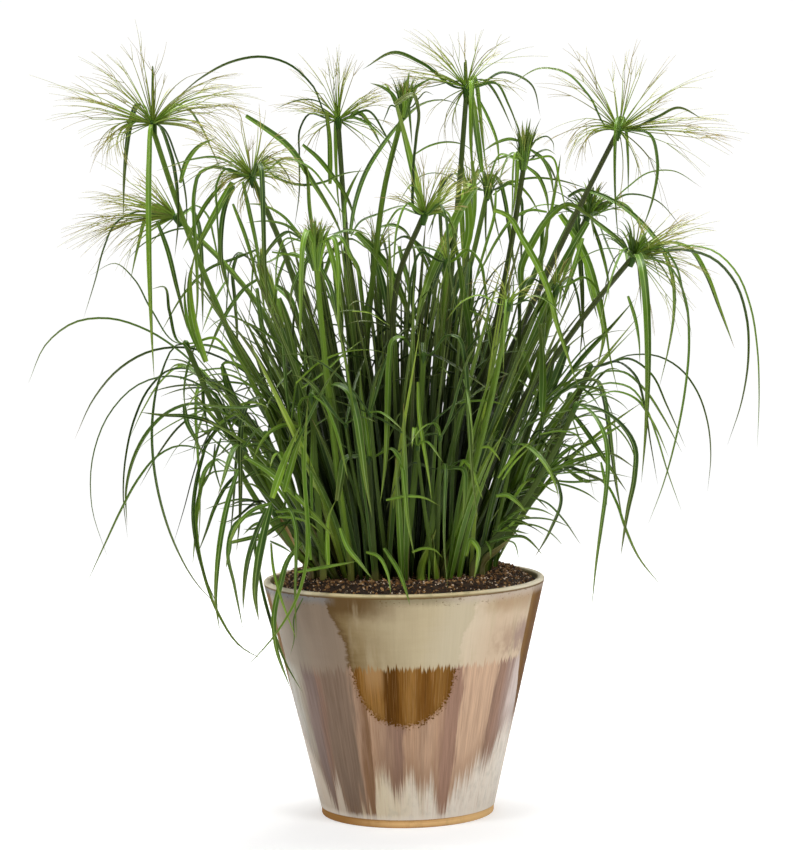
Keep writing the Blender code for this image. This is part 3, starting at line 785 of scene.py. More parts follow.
def sheathStem(bundle, line, hints, radii, rng):
    shape = sheathShape
    if rng.random() > shape["share"]:
        return
    longest = shape["longest"] * np.linalg.norm(line[-1] - line[0])
    length = min(rng.uniform(*shape["lengths"]), longest)
    parts = smoothThrough(line, shape["readings"], hints, radii)
    travelled = np.linalg.norm(parts[0] - parts[0][0], axis=1)
    spots = np.linspace(0, length, shape["rings"])
    spine, hint, radius = (readAt(spots, travelled, part) for part in parts)
    side, up = turned(*framesAlong(spine[None], hint[None]), rng.uniform(0, 2 * math.pi))
    share = np.linspace(0, 1, shape["rings"])[:, None]
    wide, narrow = shape["openAngle"]
    half = wide + (narrow - wide) * share ** shape["taper"]
    inner = (radius * shape["hug"] + shape["standOff"] + shape["flare"] * share ** 3)[..., None]
    arc = np.linspace(-1, 1, shape["arcPoints"])
    ways = outwards(half * arc)[..., :2]
    section = np.concatenate([(inner + shape["thickness"]) * ways, inner * ways[:, ::-1]], 1)[None]
    bundle.sweep(spine[None], side, up, section, np.concatenate([arc, arc]), share,
                 rng.uniform(*shape["tones"]), rng.uniform(*shape["dry"]))


# Threads of an umbel: a green ray that forks into one to three finer ones

threadShape = {
    "rays": 46,
    "rayRings": 9,
    "forkRings": 7,
    "rayRadius": (0.78 * mm, 0.40 * mm),
    "forkRadius": (0.36 * mm, 0.13 * mm),
    "forkAt": (0.5, 0.8),
    "forkSpread": 0.20,
    "forkShares": (1.0, 0.9, 0.5),     # of the rays that have a first, second and third fork
    "forkSag": 0.12,
    "innerPolar": 8,         # degrees between the axis and the innermost ray
    "polarScatter": 0.06,
    "scatter": 0.25,
    "frameDroop": 0.16,      # of its length, how far a ray of the frame droops
    "outerShare": 0.92,      # of the angle that the frame's rays open to
    "crowding": 0.62,        # under 1: more of the rays lie well out
    "arch": (0.55, 1.45),    # of that angle, at the knot and at the tip
    "upright": 0.35,
    "reach": (0.62, 1.0),
    "droop": (0.04, 0.20),
    "weakRays": 0.14,        # share of the rays that hang down limply
    "weakFrom": 0.6,         # radians from the axis
    "weakDroop": (0.55, 0.95),
    "weakReach": 0.8,
    "bend": 0.06,
    "bendShares": (0.7, 1.3),          # of a group's bend
    "seatRadius": 2.2 * mm,
    "depth": 0.42,           # how far grouped rays lean out of the picture, radians
}


def umbelAxis(plant):
    # the middle direction of the frame's rays, how far they open and the longest one's length
    tips = np.array(plant["rays"]) - plant["knot"]
    lengths = np.linalg.norm(tips, axis=1)
    ways = unit(tips + upward * threadShape["frameDroop"] * lengths[:, None])
    axis = unit(ways.sum(0))
    return axis, math.acos(float(np.clip((ways @ axis).min(), -1, 1))), lengths.max()


def sweepThreads(bundle, spine, radius, along, tone):
    hint = np.cross(unit(np.gradient(spine, axis=1)), np.array([0.31, 0.22, 0.92]))
    side, up = framesAlong(spine, hint)
    section = radius[..., None, None] * outwards(fullTurn(3))[:, :2]
    bundle.sweep(spine, side, up, section, 0.0, along[..., None], tone[:, None, None], 0.0)


def roundRays(plant, rng, shape):
    # the seat, the first and last direction and the reach of every ray of a round umbel
    axis, opening, length = umbelAxis(plant)
    axis = unit(axis + upward * shape["upright"])
    count = shape["rays"]
    share = (np.arange(count) + 0.5) / count
    inner = math.radians(shape["innerPolar"])
    outer = opening * shape["outerShare"]
    polar = inner + (outer - inner) * share ** shape["crowding"]
    polar = polar + rng.normal(0, shape["polarScatter"], count)
    spread = whorl(axis, count, shape["scatter"], rng)
    first, last = (axis * np.cos(polar * part)[:, None] + spread * np.sin(polar * part)[:, None]
                   for part in shape["arch"])
    reach = length * rng.uniform(*shape["reach"], count)
    weak = (rng.random(count) < shape["weakRays"]) & (polar > shape["weakFrom"])
    limp, firm = (rng.uniform(*shape[name], count) for name in ("weakDroop", "droop"))
    last = last - 2 * upward * np.where(weak, limp, firm)[:, None]
    seat = plant["knot"] + spread * shape["seatRadius"] * share[:, None] ** 0.5
    return seat, first, last, np.where(weak, reach * shape["weakReach"], reach)


def groupedRays(plant, rng, shape):
    # the same for rays in groups, by their angle in the picture: 0 is to the right, 90 is up
    seats, firsts, lasts, reaches = [], [], [], []
    for angle, scatter, count, shortest, longest, bend, *aside in shape["groups"]:
        lean = np.radians(rng.normal(angle, scatter, count))
        deep = rng.normal(0, shape["depth"], count)
        ending = lean + np.radians(bend) * rng.uniform(*shape["bendShares"], count)
        for ways, slope in ((firsts, lean), (lasts, ending)):
            flat = np.cos(deep)
            ways.append(np.stack([np.cos(slope) * flat, np.sin(deep), np.sin(slope) * flat], -1))
        right, up = [*aside, 0, 0][:2]
        seats.append(plant["knot"] + firsts[-1] * shape["seatRadius"] + np.array([right, 0, up]) * mm)
        reaches.append(rng.uniform(shortest, longest, count) * mm)
    return [np.concatenate(part) for part in (seats, firsts, lasts, reaches)]


def growUmbel(bundle, plant, rng, shape):
    rays = groupedRays if "groups" in shape else roundRays
    seat, start, end, reach = rays(plant, rng, shape)
    count = len(reach)
    curve = (end - start)[:, None] / 2 + rng.normal(0, shape["bend"], (count, 3))[:, None]

    def lineAt(part):
        # part: rays x rings, the share of the whole ray's length
        far = (reach[:, None] * part)[..., None]
        return seat[:, None] + far * (start[:, None] + curve * part[..., None])

    forkAt = rng.uniform(*shape["forkAt"], count)[:, None]
    grown = np.linspace(0, 1, shape["rayRings"])
    first, last = shape["rayRadius"]
    tone = rng.random(count)
    part = grown * forkAt
    sweepThreads(bundle, lineAt(part), first + (last - first) * grown + 0 * part, part, tone)

    grown = np.linspace(0, 1, shape["forkRings"])
    first, last = shape["forkRadius"]
    part = forkAt + (1 - forkAt) * grown
    thin = first + (last - first) * grown + 0 * part
    length = ((1 - forkAt) * reach[:, None])[..., None]
    sink = upward * length * shape["forkSag"] * grown[:, None] ** 2
    for share in shape["forkShares"]:
        away = length * rng.normal(0, shape["forkSpread"], (count, 3))[:, None] * grown[:, None] ** 0.8
        kept = rng.random(count) < share
        sweepThreads(bundle, (lineAt(part) + away - sink)[kept], thin[kept], part[kept], tone[kept])


# The knot: a small cup of overlapping scales below the rays

cupShape = {
    "heights": (-12, -8, -4, 0, 3.0, 4.6),       # mm along the stem, from the knot
    "radii": (2.7, 3.3, 4.0, 4.3, 3.2, 0.4),
    "corners": 14,
}


def growCup(bundle, knot, axis, tone, scale=1.0):
    heights, radii = (np.array(cupShape[name]) * mm * scale for name in ("heights", "radii"))
    spine = (knot + axis * heights[:, None])[None]
    angle = fullTurn(cupShape["corners"])
    section = radii[:, None, None] * outwards(angle)[:, :2]
    side, up = framesAlong(spine, np.cross(axis, np.array([0.3, 0.9, 0.2])) + 0 * spine)
    share = np.linspace(0.2, 0.0, len(radii))[:, None]
    bundle.sweep(spine, side, up, section[None], np.abs(angle / math.pi - 1), share, tone, 0.0)


# A tuft: the short leaves of a crown that hasn't opened, packed in a funnel or a sleeve

tuftShape = {
    "count": 26,
    "length": (30 * mm, 48 * mm),
    "width": (2.6 * mm, 4.4 * mm),
    "scatter": 0.2,
    "open": 0.35,            # radians between the axis and the outer leaves
    "openShares": (0.8, 1.15),
    "leaving": 0.6,          # of that angle at the foot
    "curl": 2.1,             # of that angle at the tips
    "bow": 0.35,
    "rings": 12,
    "dried": (0.25, 0.1),    # share of the leaves, and of their length
    "sunk": 10 * mm,         # how far below the knot it starts
    "seat": 3.2 * mm,
    "alongStem": False,      # or else it stands between the rays and the plumb line
    "tones": (0.2, 0.7),
}


def growTuft(bundle, knot, axis, rng, shape):
    count = shape["count"]
    share = np.sqrt((np.arange(count) + 0.5) / count)[:, None]
    out = whorl(axis, count, shape["scatter"], rng)
    angle = shape["open"] * share * rng.uniform(*shape["openShares"], (count, 1))
    length = rng.uniform(*shape["length"], (count, 1))
    start = knot - axis * shape["sunk"] + out * shape["seat"] * share
    leaving, way, arriving = (length * (axis * np.cos(angle * part) + out * np.sin(angle * part))
                              for part in (shape["leaving"], 1.0, shape["curl"]))
    spine = bezier(start, leaving * shape["bow"], arriving * shape["bow"], start + way, shape["rings"])
    hint = np.repeat(np.cross(axis, out)[:, None], shape["rings"], 1)
    sweepBlades(bundle, spine, hint, rng.uniform(*shape["width"], count),
                rng.uniform(*shape["tones"], count), driedTips(count, rng, *shape["dried"]))


# What is special about single crowns and shoots. A group of rays: its angle in the picture, the
# scatter, how many, from and to which length in mm, how far they bend in degrees and, where it
# isn't the knot, how far right and up of it they start

crownLooks = {
    "crown_01": {"blunt": "highest", "bracts": 0, "umbel": {"groups": [
        (42, 9, 22, 90, 118, -52), (14, 9, 14, 60, 108, -42), (74, 10, 5, 45, 80, -10),
        (103, 9, 7, 78, 104, 10), (131, 10, 12, 64, 98, 18), (160, 8, 15, 70, 118, 12),
        (186, 9, 6, 40, 80, 20), (195, 9, 12, 62, 80, 84, -14, 4)]}},
    "crown_02": {"bracts": 3, "umbel": {"groups": [
        (85, 14, 10, 40, 78, 5), (130, 12, 15, 45, 82, 14), (163, 12, 16, 38, 66, 60),
        (55, 12, 18, 42, 66, -60), (15, 12, 14, 40, 66, -60), (-60, 30, 10, 25, 50, -10),
        (215, 16, 8, 25, 50, 40)]}},
    "crown_03": {"bracts": 0, "umbel": {"depth": 0.3, "rayRadius": (1.0 * mm, 0.45 * mm), "groups": [
        (176, 5, 20, 85, 118, 26), (158, 9, 20, 65, 104, 12), (128, 9, 13, 42, 72, 4),
        (196, 7, 8, 60, 90, 26)]}},
    "crown_04": {"bracts": 2, "umbel": {"groups": [
        (86, 8, 12, 52, 88, -4), (38, 8, 14, 45, 68, -24), (150, 11, 11, 45, 78, 28),
        (112, 9, 7, 60, 94, 8), (-25, 12, 6, 45, 75, -26), (195, 9, 5, 40, 60, 40)]}},
    "crown_05": {"bracts": 0, "tuft": {"count": 30, "open": 0.40, "length": (30 * mm, 50 * mm)},
                 "umbel": {"rays": 16, "reach": (0.5, 0.9)}},
    "crown_06": {"blunt": "highest", "bracts": 2, "umbel": {"groups": [
        (153, 8, 14, 62, 108, 26), (124, 9, 12, 50, 84, 12), (90, 11, 7, 45, 76, 0),
        (28, 12, 8, 48, 80, -48), (60, 9, 5, 45, 75, -30), (215, 10, 6, 45, 90, 52),
        (-75, 14, 5, 40, 80, -10)]}},
    "crown_07": {"bracts": 2, "tuft": {"count": 30, "open": 0.27, "length": (36 * mm, 56 * mm)},
                 "umbel": {"rays": 9, "reach": (0.5, 0.8)}},
    "crown_08": {"bracts": 0, "umbel": {"groups": [
        (3, 6, 14, 85, 124, -16), (38, 11, 8, 62, 108, -14), (84, 12, 10, 72, 104, 4),
        (126, 9, 8, 90, 124, 10), (158, 12, 13, 62, 88, 88), (-50, 12, 6, 60, 92, -38),
        (20, 12, 8, 35, 60, 0)]}},
    "crown_09": {"blunt": "highest", "bracts": 1, "umbel": {"groups": [
        (56, 15, 24, 42, 68, -8), (100, 14, 12, 36, 60, 0), (136, 10, 8, 36, 54, 16),
        (8, 8, 6, 28, 46, -10)]}},
    "crown_10": {"bracts": 1, "tuft": {"count": 16, "open": 0.5, "length": (24 * mm, 38 * mm)},
                 "umbel": {"rays": 22, "reach": (0.5, 0.85)}},
    "crown_11": {"bracts": 2, "tuft": {"count": 40, "open": 0.40, "length": (38 * mm, 56 * mm),
                                       "sunk": 28 * mm, "width": (3.2 * mm, 5.0 * mm),
                                       "tones": (0.4, 0.75)},
                 "umbel": {"rays": 12, "reach": (0.5, 0.9)}},
    "crown_12": {"bracts": 6, "tuft": {"count": 46, "open": 1.5, "length": (20 * mm, 52 * mm),
                                       "sunk": 2 * mm},
                 "umbel": {"groups": [(32, 12, 26, 48, 86, -12), (2, 10, 13, 48, 82, -20),
                                      (-35, 12, 10, 48, 84, -20), (74, 14, 7, 30, 54, 0)]}},
    "crown_13": {"bracts": 6, "tuft": {"count": 44, "open": 1.4, "length": (20 * mm, 54 * mm),
                                       "sunk": 2 * mm},
                 "umbel": {"rays": 26, "reach": (0.6, 1.0)}},
    "crown_14": {"bracts": 1, "tuft": {"count": 20, "open": 0.05, "length": (76 * mm, 98 * mm),
                                       "sunk": 82 * mm, "seat": 4.5 * mm, "alongStem": True,
                                       "width": (5 * mm, 7.5 * mm), "tones": (0.45, 0.85)},
                 "umbel": {"rays": 8, "reach": (0.4, 0.8)}},
    "crown_15": {"bracts": 1, "umbel": {"rays": 14}},
    "crown_16": {"bracts": 1, "umbel": {"rays": 18}},
    "crown_17": {"bracts": 1, "umbel": {"rays": 16, "forkShares": (1.0, 0.4, 0.0)}},
    "crown_18": {"bracts": 1, "umbel": {"rays": 20}},
    "crown_19": {"bracts": 1, "umbel": {"rays": 12}},
    "crown_20": {"bracts": 1, "umbel": {"rays": 12}},
    "shoot_05": {"stem": 0.15},
    "shoot_06": {"stem": 0.3},
    "shoot_08": {"tones": (0.4, 0.75)},
    "shoot_09": {"blunt": "highest", "tones": (0.2, 0.5)},
    "shoot_10": {"blunt": "widest"},
    "shoot_15": {"stem": 0.1},
}


# The frame's stems, crowns and shoots, drawn again

def nodesOf(family):
    # the frame's nodes of one family, each with its own random numbers
    names = sorted(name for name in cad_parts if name.startswith(family))
    return [(name, np.random.default_rng(seeds[family] + number)) for number, name in enumerate(names)]


def makePlantPieces(stemFace, bladeFace, threadFace):
    stems = []
    for node, rng in nodesOf("culm"):
        points, near = weldedNet(node)
        foot = footOf(points)
        line, hints, radii = readTube(points, [foot] + walkRings(foot, near))
        tone = stemShape["ownTones"].get(node, rng.uniform(*stemShape["tones"]))
        bundle = Bundle()
        sweepStem(bundle, line, hints, radii, tone, stemShape["rings"])
        settle(bundle.piece(f"papyrus{node.capitalize()}", stemFace), "stem", node)
        stems.append((line, hints, radii, rng))
    print("tall stems are drawn")

    for (node, rng), (stem, *_) in zip(nodesOf("crown"), stems):
        look = crownLooks.get(node, {})
        plant = readPlant(node)
        knot = plant["knot"]
        bundle = Bundle()
        frameBlades(bundle, plant, look, rng)
        growBracts(bundle, plant, rng, look.get("bracts", 2))
        way = unit(umbelAxis(plant)[0] + upward)
        growCup(bundle, knot, way, 0.3)
        if "tuft" in look:
            shape = {**tuftShape, **look["tuft"]}
            along = unit(stem[-1] - stem[-3]) if shape["alongStem"] else way
            growTuft(bundle, knot, along, rng, shape)
        settle(bundle.piece(f"papyrus{node.capitalize()}", bladeFace), "leaf", node)
        threads = Bundle()
        growUmbel(threads, plant, rng, {**threadShape, **look.get("umbel", {})})
        settle(threads.piece(f"threads{node.capitalize()}", threadFace), "leaf", node)
    print("crowns and their threads are drawn")

    for node, rng in nodesOf("shoot"):
        look = crownLooks.get(node, {})
        plant = readPlant(node)
        middles, hints, radii = plant["stem"]
        line = np.vstack([middles, plant["knot"]])
        hints, radii = np.vstack([hints, hints[-1:]]), np.vstack([radii, radii[-1:]])
        bundle = Bundle()
        tone = rng.uniform(*stemShape["tones"])
        sweepStem(bundle, line, hints, radii, look.get("stem", tone), stemShape["rings"], 1)
        frameBlades(bundle, plant, look, rng)
        growCup(bundle, plant["knot"], unit(line[-1] - line[-2]), 0.35, 0.8)
        settle(bundle.piece(f"papyrus{node.capitalize()}", bladeFace, stemFace), "leaf", node)
        stems.append((line, hints, radii, rng))
    print("shoots are drawn")
    return stems


# Leaves that stand out in the photograph and aren't in the frame: the width in mm, the tone, the
# depth in mm at both ends, the places in the picture that it goes through, and whether it ends
# bluntly or has dried to straw

seenLeaves = [
    # the upper left
    (4.5, 0.60, -130, -150, (224, 182), (206, 204), (192, 230), (182, 250)),
    (7.0, 0.66, -135, -150, (232, 182), (216, 212), (203, 236), (192, 262)),
    (5.5, 0.30, -140, -120, (234, 186), (225, 207), (221, 235), (222, 264), (230, 297)),
    (2.6, 0.45, -120, -90, (224, 262), (231, 298), (246, 325), (264, 343), (278, 358)),
    (4.0, 0.70, -130, -60, (233, 204), (245, 235), (253, 262), (259, 286)),
    (5.0, 0.62, -120, -20, (243, 182), (250, 214), (257, 248), (262, 300)),
    (5.2, 0.62, -60, -90, (180, 183), (187, 161), (199, 146), (216, 138)),
    (3.0, 0.42, -140, -90, (242, 174), (229, 162), (214, 157), (194, 159), (156, 171)),
    (5.0, 0.42, -45, -60, (157, 221), (167, 248), (177, 288), (188, 332)),
    (2.2, 0.45, 80, 40, (192, 229), (178, 229), (160, 235), (143, 244), (127, 260)),
    (9.0, 0.92, -70, -75, (206, 362), (195, 330), (190, 300), (190, 276), (196, 252)),
    (7.0, 0.62, -70, -70, (200, 352), (188, 322), (184, 296), (187, 268)),
    (3.4, 0.42, 150, 100, (258, 249), (236, 258), (210, 268), (187, 290), (160, 334)),
    (4.4, 0.50, 60, 20, (258, 279), (246, 287), (233, 303), (219, 327), (205, 362)),
    (3.2, 0.50, 60, 10, (228, 278), (217, 296), (208, 316), (201, 335)),
    (1.8, 0.50, 0, 0, (242, 320), (231, 316), (218, 321), (203, 335)),
    (2.8, 0.46, 0, -40, (186, 348), (205, 345), (225, 351), (246, 366), (272, 388)),
    (8.0, 0.85, -60, -80, (318, 246), (312, 226), (309, 204), (308, 184), (306, 166), "blunt"),
    (8.0, 0.52, -100, -60, (246, 116), (266, 129), (288, 146), (310, 178), (336, 222), (346, 246)),
    (5.0, 0.62, -60, 60, (303, 145), (318, 158), (334, 178), (349, 202), (356, 226)),
    (2.8, 0.38, -80, -60, (268, 172), (284, 181), (304, 185), (324, 182), (343, 174), (372, 170)),
    (3.0, 0.50, -190, -170, (311, 252), (302, 239), (288, 226), (268, 221), (245, 223)),
    (3.0, 0.55, -190, -170, (310, 250), (298, 233), (283, 216), (262, 205), (240, 204)),
    (4.0, 0.28, -190, -170, (312, 254), (299, 273), (292, 290), (290, 312)),
    (4.5, 0.36, -185, -150, (318, 262), (331, 288), (337, 318), (347, 348)),
    (3.6, 0.45, -190, -150, (328, 240), (338, 233), (352, 230), (372, 236)),
    (6.2, 0.88, -175, -150, (326, 238), (333, 261), (338, 287), (344, 322)),
    (2.6, 0.72, -150, -120, (272, 252), (299, 257), (320, 270), (336, 288)),
    # the middle, above the clump
    (6.0, 0.78, 90, 70, (330, 184), (330, 160), (329, 134), (326, 112), "blunt"),
    (3.2, 0.48, 110, 60, (340, 121), (350, 117), (363, 121), (377, 131), (390, 145)),
    (5.4, 0.40, -20, 40, (350, 234), (355, 204), (366, 172), (382, 146), (402, 121), (424, 103),
     (444, 100), (464, 107)),
    (4.8, 0.58, 40, 60, (344, 228), (345, 202), (352, 184), (362, 166)),
    (3.0, 0.35, -20, 20, (351, 236), (360, 222), (378, 214), (402, 206), (424, 209)),
    (9.5, 0.56, -20, -40, (356, 232), (366, 242), (383, 261), (394, 278), (404, 300), (411, 322),
     (416, 344)),
    (7.0, 0.30, 30, 20, (377, 262), (383, 285), (387, 310), (389, 342)),
    (5.5, 0.60, 40, 20, (399, 246), (403, 262), (408, 281), (412, 303), (414, 330)),
    (6.5, 0.18, 40, 0, (453, 236), (444, 258), (434, 281), (426, 305), (420, 332)),
    (4.2, 0.60, 60, 60, (412, 238), (421, 253), (428, 268), (431, 283)),
    (6.0, 0.45, 60, 40, (440, 258), (446, 285), (447, 311), (444, 345)),
    (12.0, 0.22, 60, 20, (463, 266), (452, 293), (441, 320), (431, 352)),
    (11.0, 0.30, 90, 60, (455, 296), (451, 321), (448, 350), (444, 380)),
    (9.0, 0.12, 60, 40, (396, 276), (392, 304), (388, 330), (385, 358)),
    (8.0, 0.42, 20, 0, (335, 272), (339, 300), (341, 326), (342, 354)),
    (6.5, 0.48, 50, 40, (373, 282), (368, 305), (364, 327), (361, 352)),
    (9.0, 0.20, 60, 40, (346, 236), (346, 268), (347, 300), (348, 340)),
    (10.0, 0.34, 70, 40, (470, 262), (467, 300), (463, 340), (457, 392)),
    (7.0, 0.50, 20, 0, (475, 288), (469, 325), (466, 361), (468, 402)),
    (4.4, 0.42, 20, 30, (380, 227), (393, 225), (404, 230), (412, 240)),
    (9.0, 0.78, -60, -40, (424, 213), (418, 190), (411, 162), (404, 134), (396, 103), "blunt"),
    (4.2, 0.42, -30, -60, (401, 108), (391, 93), (382, 87), (370, 83)),
    (3.2, 0.50, -30, -60, (406, 104), (414, 89), (424, 82), (436, 77)),
    (7.2, 0.52, 30, 40, (482, 172), (477, 134), (473, 104), (468, 82), "blunt"),
    (4.2, 0.60, 40, 0, (476, 94), (489, 120), (497, 142), (499, 168)),
    (2.2, 0.88, 60, 60, (412, 156), (429, 146), (447, 142), (464, 145), (478, 156)),
    (9.5, 0.76, 60, 40, (463, 258), (469, 232), (468, 206), (464, 178), (462, 160)),
    (9.0, 0.72, 100, 60, (472, 230), (474, 204), (474, 182), (472, 162), "blunt"),
    (10.5, 0.60, 0, -110, (476, 186), (462, 206), (448, 236), (432, 270), (421, 304), (414, 336)),
    (8.0, 0.50, -90, -90, (470, 362), (470, 330), (464, 296), (459, 262), (450, 218)),
    (4.5, 0.28, -160, -130, (427, 215), (438, 212), (449, 220), (458, 238)),
    (4.4, 0.80, 120, 60, (496, 190), (494, 216), (486, 244), (476, 278), (469, 304)),
    (6.6, 0.84, -110, -130, (494, 210), (507, 215), (522, 238), (537, 264), (549, 292),
     (557, 324), (567, 354), (580, 392)),
    (3.4, 0.62, -60, -90, (547, 212), (530, 210), (513, 219), (497, 240), (484, 264), (470, 290)),
    (3.0, 0.66, 130, 100, (493, 195), (508, 184), (530, 178), (558, 180), (592, 190)),
    (3.4, 0.55, -100, -120, (522, 142), (510, 139), (496, 143), (482, 152)),
    (4.2, 0.32, -100, -130, (528, 150), (537, 139), (547, 136), (553, 142), (554, 153)),
    (4.0, 0.48, -100, -90, (531, 150), (542, 158), (550, 174), (554, 196)),
    (4.0, 0.62, -100, -60, (526, 166), (538, 176), (546, 194), (549, 216)),
    (2.6, 0.66, -100, -110, (524, 160), (509, 156), (494, 161), (484, 171)),
    # the upper right
    (5.6, 0.62, 60, 60, (546, 236), (552, 206), (557, 178), (561, 154)),
    (9.0, 0.68, 40, -60, (522, 292), (521, 268), (532, 243), (550, 216), (568, 204), (590, 216),
     (612, 234)),
    (8.0, 0.52, 60, 20, (519, 304), (535, 272), (545, 244), (548, 212)),
    (9.0, 0.62, 100, 40, (560, 214), (575, 236), (588, 264), (597, 296), (604, 334), (597, 368)),
    (5.4, 0.70, 120, 60, (592, 222), (601, 248), (608, 278), (609, 300)),
    (4.4, 0.60, 120, 60, (584, 258), (590, 288), (598, 320)),
    (5.2, 0.72, 100, 80, (580, 218), (571, 250), (562, 286), (557, 318)),
    (5.0, 0.44, 130, -60, (568, 197), (580, 190), (596, 193), (622, 206), (647, 228), (664, 252),
     (673, 280), (674, 312), (669, 346), (659, 388)),
    (5.0, 0.50, 120, 60, (592, 219), (608, 231), (624, 243), "blunt"),
    (5.0, 0.40, 60, 20, (624, 243), (627, 254), (627, 268)),
    (3.2, 0.30, 120, 40, (599, 224), (609, 249), (620, 274)),
    (4.4, 0.62, -70, -90, (628, 296), (635, 318), (639, 342), (640, 366)),
    (6.5, 0.40, -40, -80, (556, 392), (584, 356), (612, 326), (636, 298)),
    (8.4, 0.46, -100, -110, (542, 412), (543, 378), (542, 346), (540, 324), "blunt"),
    (7.5, 0.50, 60, 60, (500, 402), (520, 352), (543, 300), (566, 252)),
    (7.5, 0.30, 70, 40, (574, 212), (557, 248), (539, 288), (521, 328), (504, 364),
     (490, 402), "blunt"),
    (8.0, 0.40, 80, 50, (588, 222), (571, 250), (551, 286), (531, 320), (512, 354)),
    (8.0, 0.55, 40, 20, (550, 296), (536, 330), (521, 364), (506, 398)),
    (5.5, 0.66, 60, 40, (583, 238), (575, 264), (566, 291), (559, 313)),
    (10.0, 0.30, 30, 10, (568, 346), (557, 374), (547, 401), (538, 432)),
    (9.0, 0.26, 50, 30, (553, 360), (541, 391), (529, 425), (517, 458), "blunt"),
    (6.5, 0.75, 40, 40, (515, 392), (534, 344), (556, 296), (580, 236)),
    (4.0, 0.34, -100, -130, (464, 356), (476, 340), (490, 330), (500, 323)),
    (2.6, 0.62, -100, -120, (470, 310), (484, 318), (490, 344), (493, 366)),
    (3.2, 0.80, -110, -100, (512, 312), (513, 294), (514, 272)),
    # the left side of the clump
    (6.0, 0.48, 60, 30, (257, 288), (261, 320), (266, 350), (270, 378), (273, 402)),
    (8.0, 0.48, 40, 20, (275, 285), (287, 295), (296, 312), (300, 336)),
    (8.0, 0.58, 30, 10, (279, 298), (286, 318), (293, 338), (298, 362)),
    (10.0, 0.36, 40, 10, (283, 328), (291, 351), (298, 378), (303, 411)),
    (8.0, 0.22, 30, 10, (308, 333), (312, 360), (314, 390), (313, 422)),
    (8.0, 0.38, -20, -40, (222, 366), (230, 389), (241, 410), (256, 430), (271, 449)),
    (7.0, 0.42, -10, -30, (209, 397), (228, 412), (247, 431), (263, 452)),
    (2.6, 0.40, -40, -60, (196, 343), (188, 366), (184, 392), (186, 414)),
    (5.4, 0.34, -60, -50, (184, 404), (187, 422), (195, 438), (204, 456)),
    (5.4, 0.36, -40, -110, (205, 448), (197, 478), (193, 514), (197, 548), (206, 580), (219, 608)),
    (4.0, 0.34, -50, -30, (202, 454), (209, 440), (219, 428), (233, 422)),
    (3.2, 0.46, -70, -90, (221, 438), (215, 456), (208, 476), (199, 494)),
    (2.4, 0.40, -70, -80, (215, 444), (214, 464), (218, 480), (223, 496)),
    (4.4, 0.26, -40, -90, (224, 430), (208, 421), (186, 416), (162, 415), (139, 412)),
    (4.0, 0.30, -90, -110, (272, 402), (248, 407), (222, 407), (202, 404), (186, 393)),
    (4.4, 0.52, -30, -50, (204, 374), (203, 396), (206, 420), (210, 444)),
    (2.0, 0.48, -60, -100, (248, 432), (224, 430), (200, 432), (180, 444), (163, 470)),
    (3.4, 0.60, -60, -60, (222, 376), (224, 363), (234, 363), (252, 376), (276, 390)),
    (4.4, 0.30, -60, -60, (222, 364), (226, 386), (236, 408), (252, 428)),
    (2.4, 0.50, 40, 0, (180, 379), (202, 371), (226, 369), (250, 380), (274, 398)),
    (2.4, 0.62, -20, -40, (206, 382), (230, 382), (252, 386), (274, 400)),
    (8.5, 0.92, -158, -166, (272, 498), (280, 474), (290, 448), (301, 424)),
    (7.0, 0.80, -150, -160, (284, 492), (290, 470), (296, 450), (303, 432)),
    (9.0, 0.30, -140, -160, (271, 505), (264, 532), (258, 562), (255, 594), (259, 622)),
    (7.0, 0.22, -130, -150, (267, 508), (256, 534), (248, 560), (244, 590), (243, 612)),
    (6.0, 0.40, -110, -130, (238, 470), (228, 502), (221, 536), (217, 570), (216, 604), (220, 632)),
    (4.4, 0.84, -110, -140, (299, 427), (284, 425), (270, 432), (259, 446), (253, 462)),
    (6.6, 0.70, -90, -150, (244, 456), (268, 471), (290, 490), (313, 513), (337, 540)),
    (4.4, 0.40, -60, -100, (240, 471), (226, 486), (214, 509), (206, 532), (198, 553)),
    (4.4, 0.60, -105, -140, (272, 503), (253, 510), (239, 523), (230, 541), "blunt"),
    (3.8, 0.45, -140, -150, (231, 540), (229, 552), (226, 568)),
    (4.4, 0.55, -105, -130, (270, 533), (250, 538), (229, 543), "blunt"),
    (3.4, 0.45, -105, -130, (268, 521), (254, 525), (243, 535)),
    (3.6, 0.74, -115, -150, (276, 512), (296, 511), (315, 519), (332, 537)),
    (3.6, 0.84, -115, -150, (278, 517), (296, 518), (311, 524), (321, 533)),
    (6.0, 0.46, -90, -118, (302, 543), (289, 558), (280, 586), (274, 616), (276, 646), (291, 690)),
    (3.0, 0.94, -100, -126, (271, 543), (273, 566), (281, 598), (289, 620), (297, 640)),
    (1.6, 0.20, -112, -122, (303, 598), (294, 618), (294, 640), (290, 656)),
    (3.2, 0.45, -95, -100, (270, 541), (283, 547), (295, 555)),
    (3.2, 0.50, -95, -100, (280, 518), (288, 531), (296, 549), "straw"),
    (9.0, 0.46, -165, -160, (310, 560), (307, 520), (304, 476), (305, 440), (308, 398)),
    (5.0, 0.55, -165, -175, (314, 396), (324, 404), (334, 424), (342, 452), (348, 480)),
    (6.4, 0.46, -122, -126, (312, 516), (311, 476), (312, 436), (312, 401), "blunt"),
    (9.0, 0.56, -60, -90, (300, 420), (297, 376), (290, 338), (280, 300)),
    # the front
    (4.0, 0.95, -150, -165, (418, 382), (419, 412), (423, 442), (428, 472), (432, 502)),
    (4.6, 0.82, -130, -160, (459, 470), (464, 461), (471, 467), (477, 482), (483, 500)),
    (5.2, 0.84, -100, -130, (466, 556), (471, 540), (478, 548), (477, 564), (474, 579)),
    (3.2, 0.95, -140, -160, (478, 448), (489, 447), (496, 454), (501, 462)),
    (2.6, 0.62, -130, -150, (452, 404), (470, 401), (490, 401), (506, 406), (518, 416)),
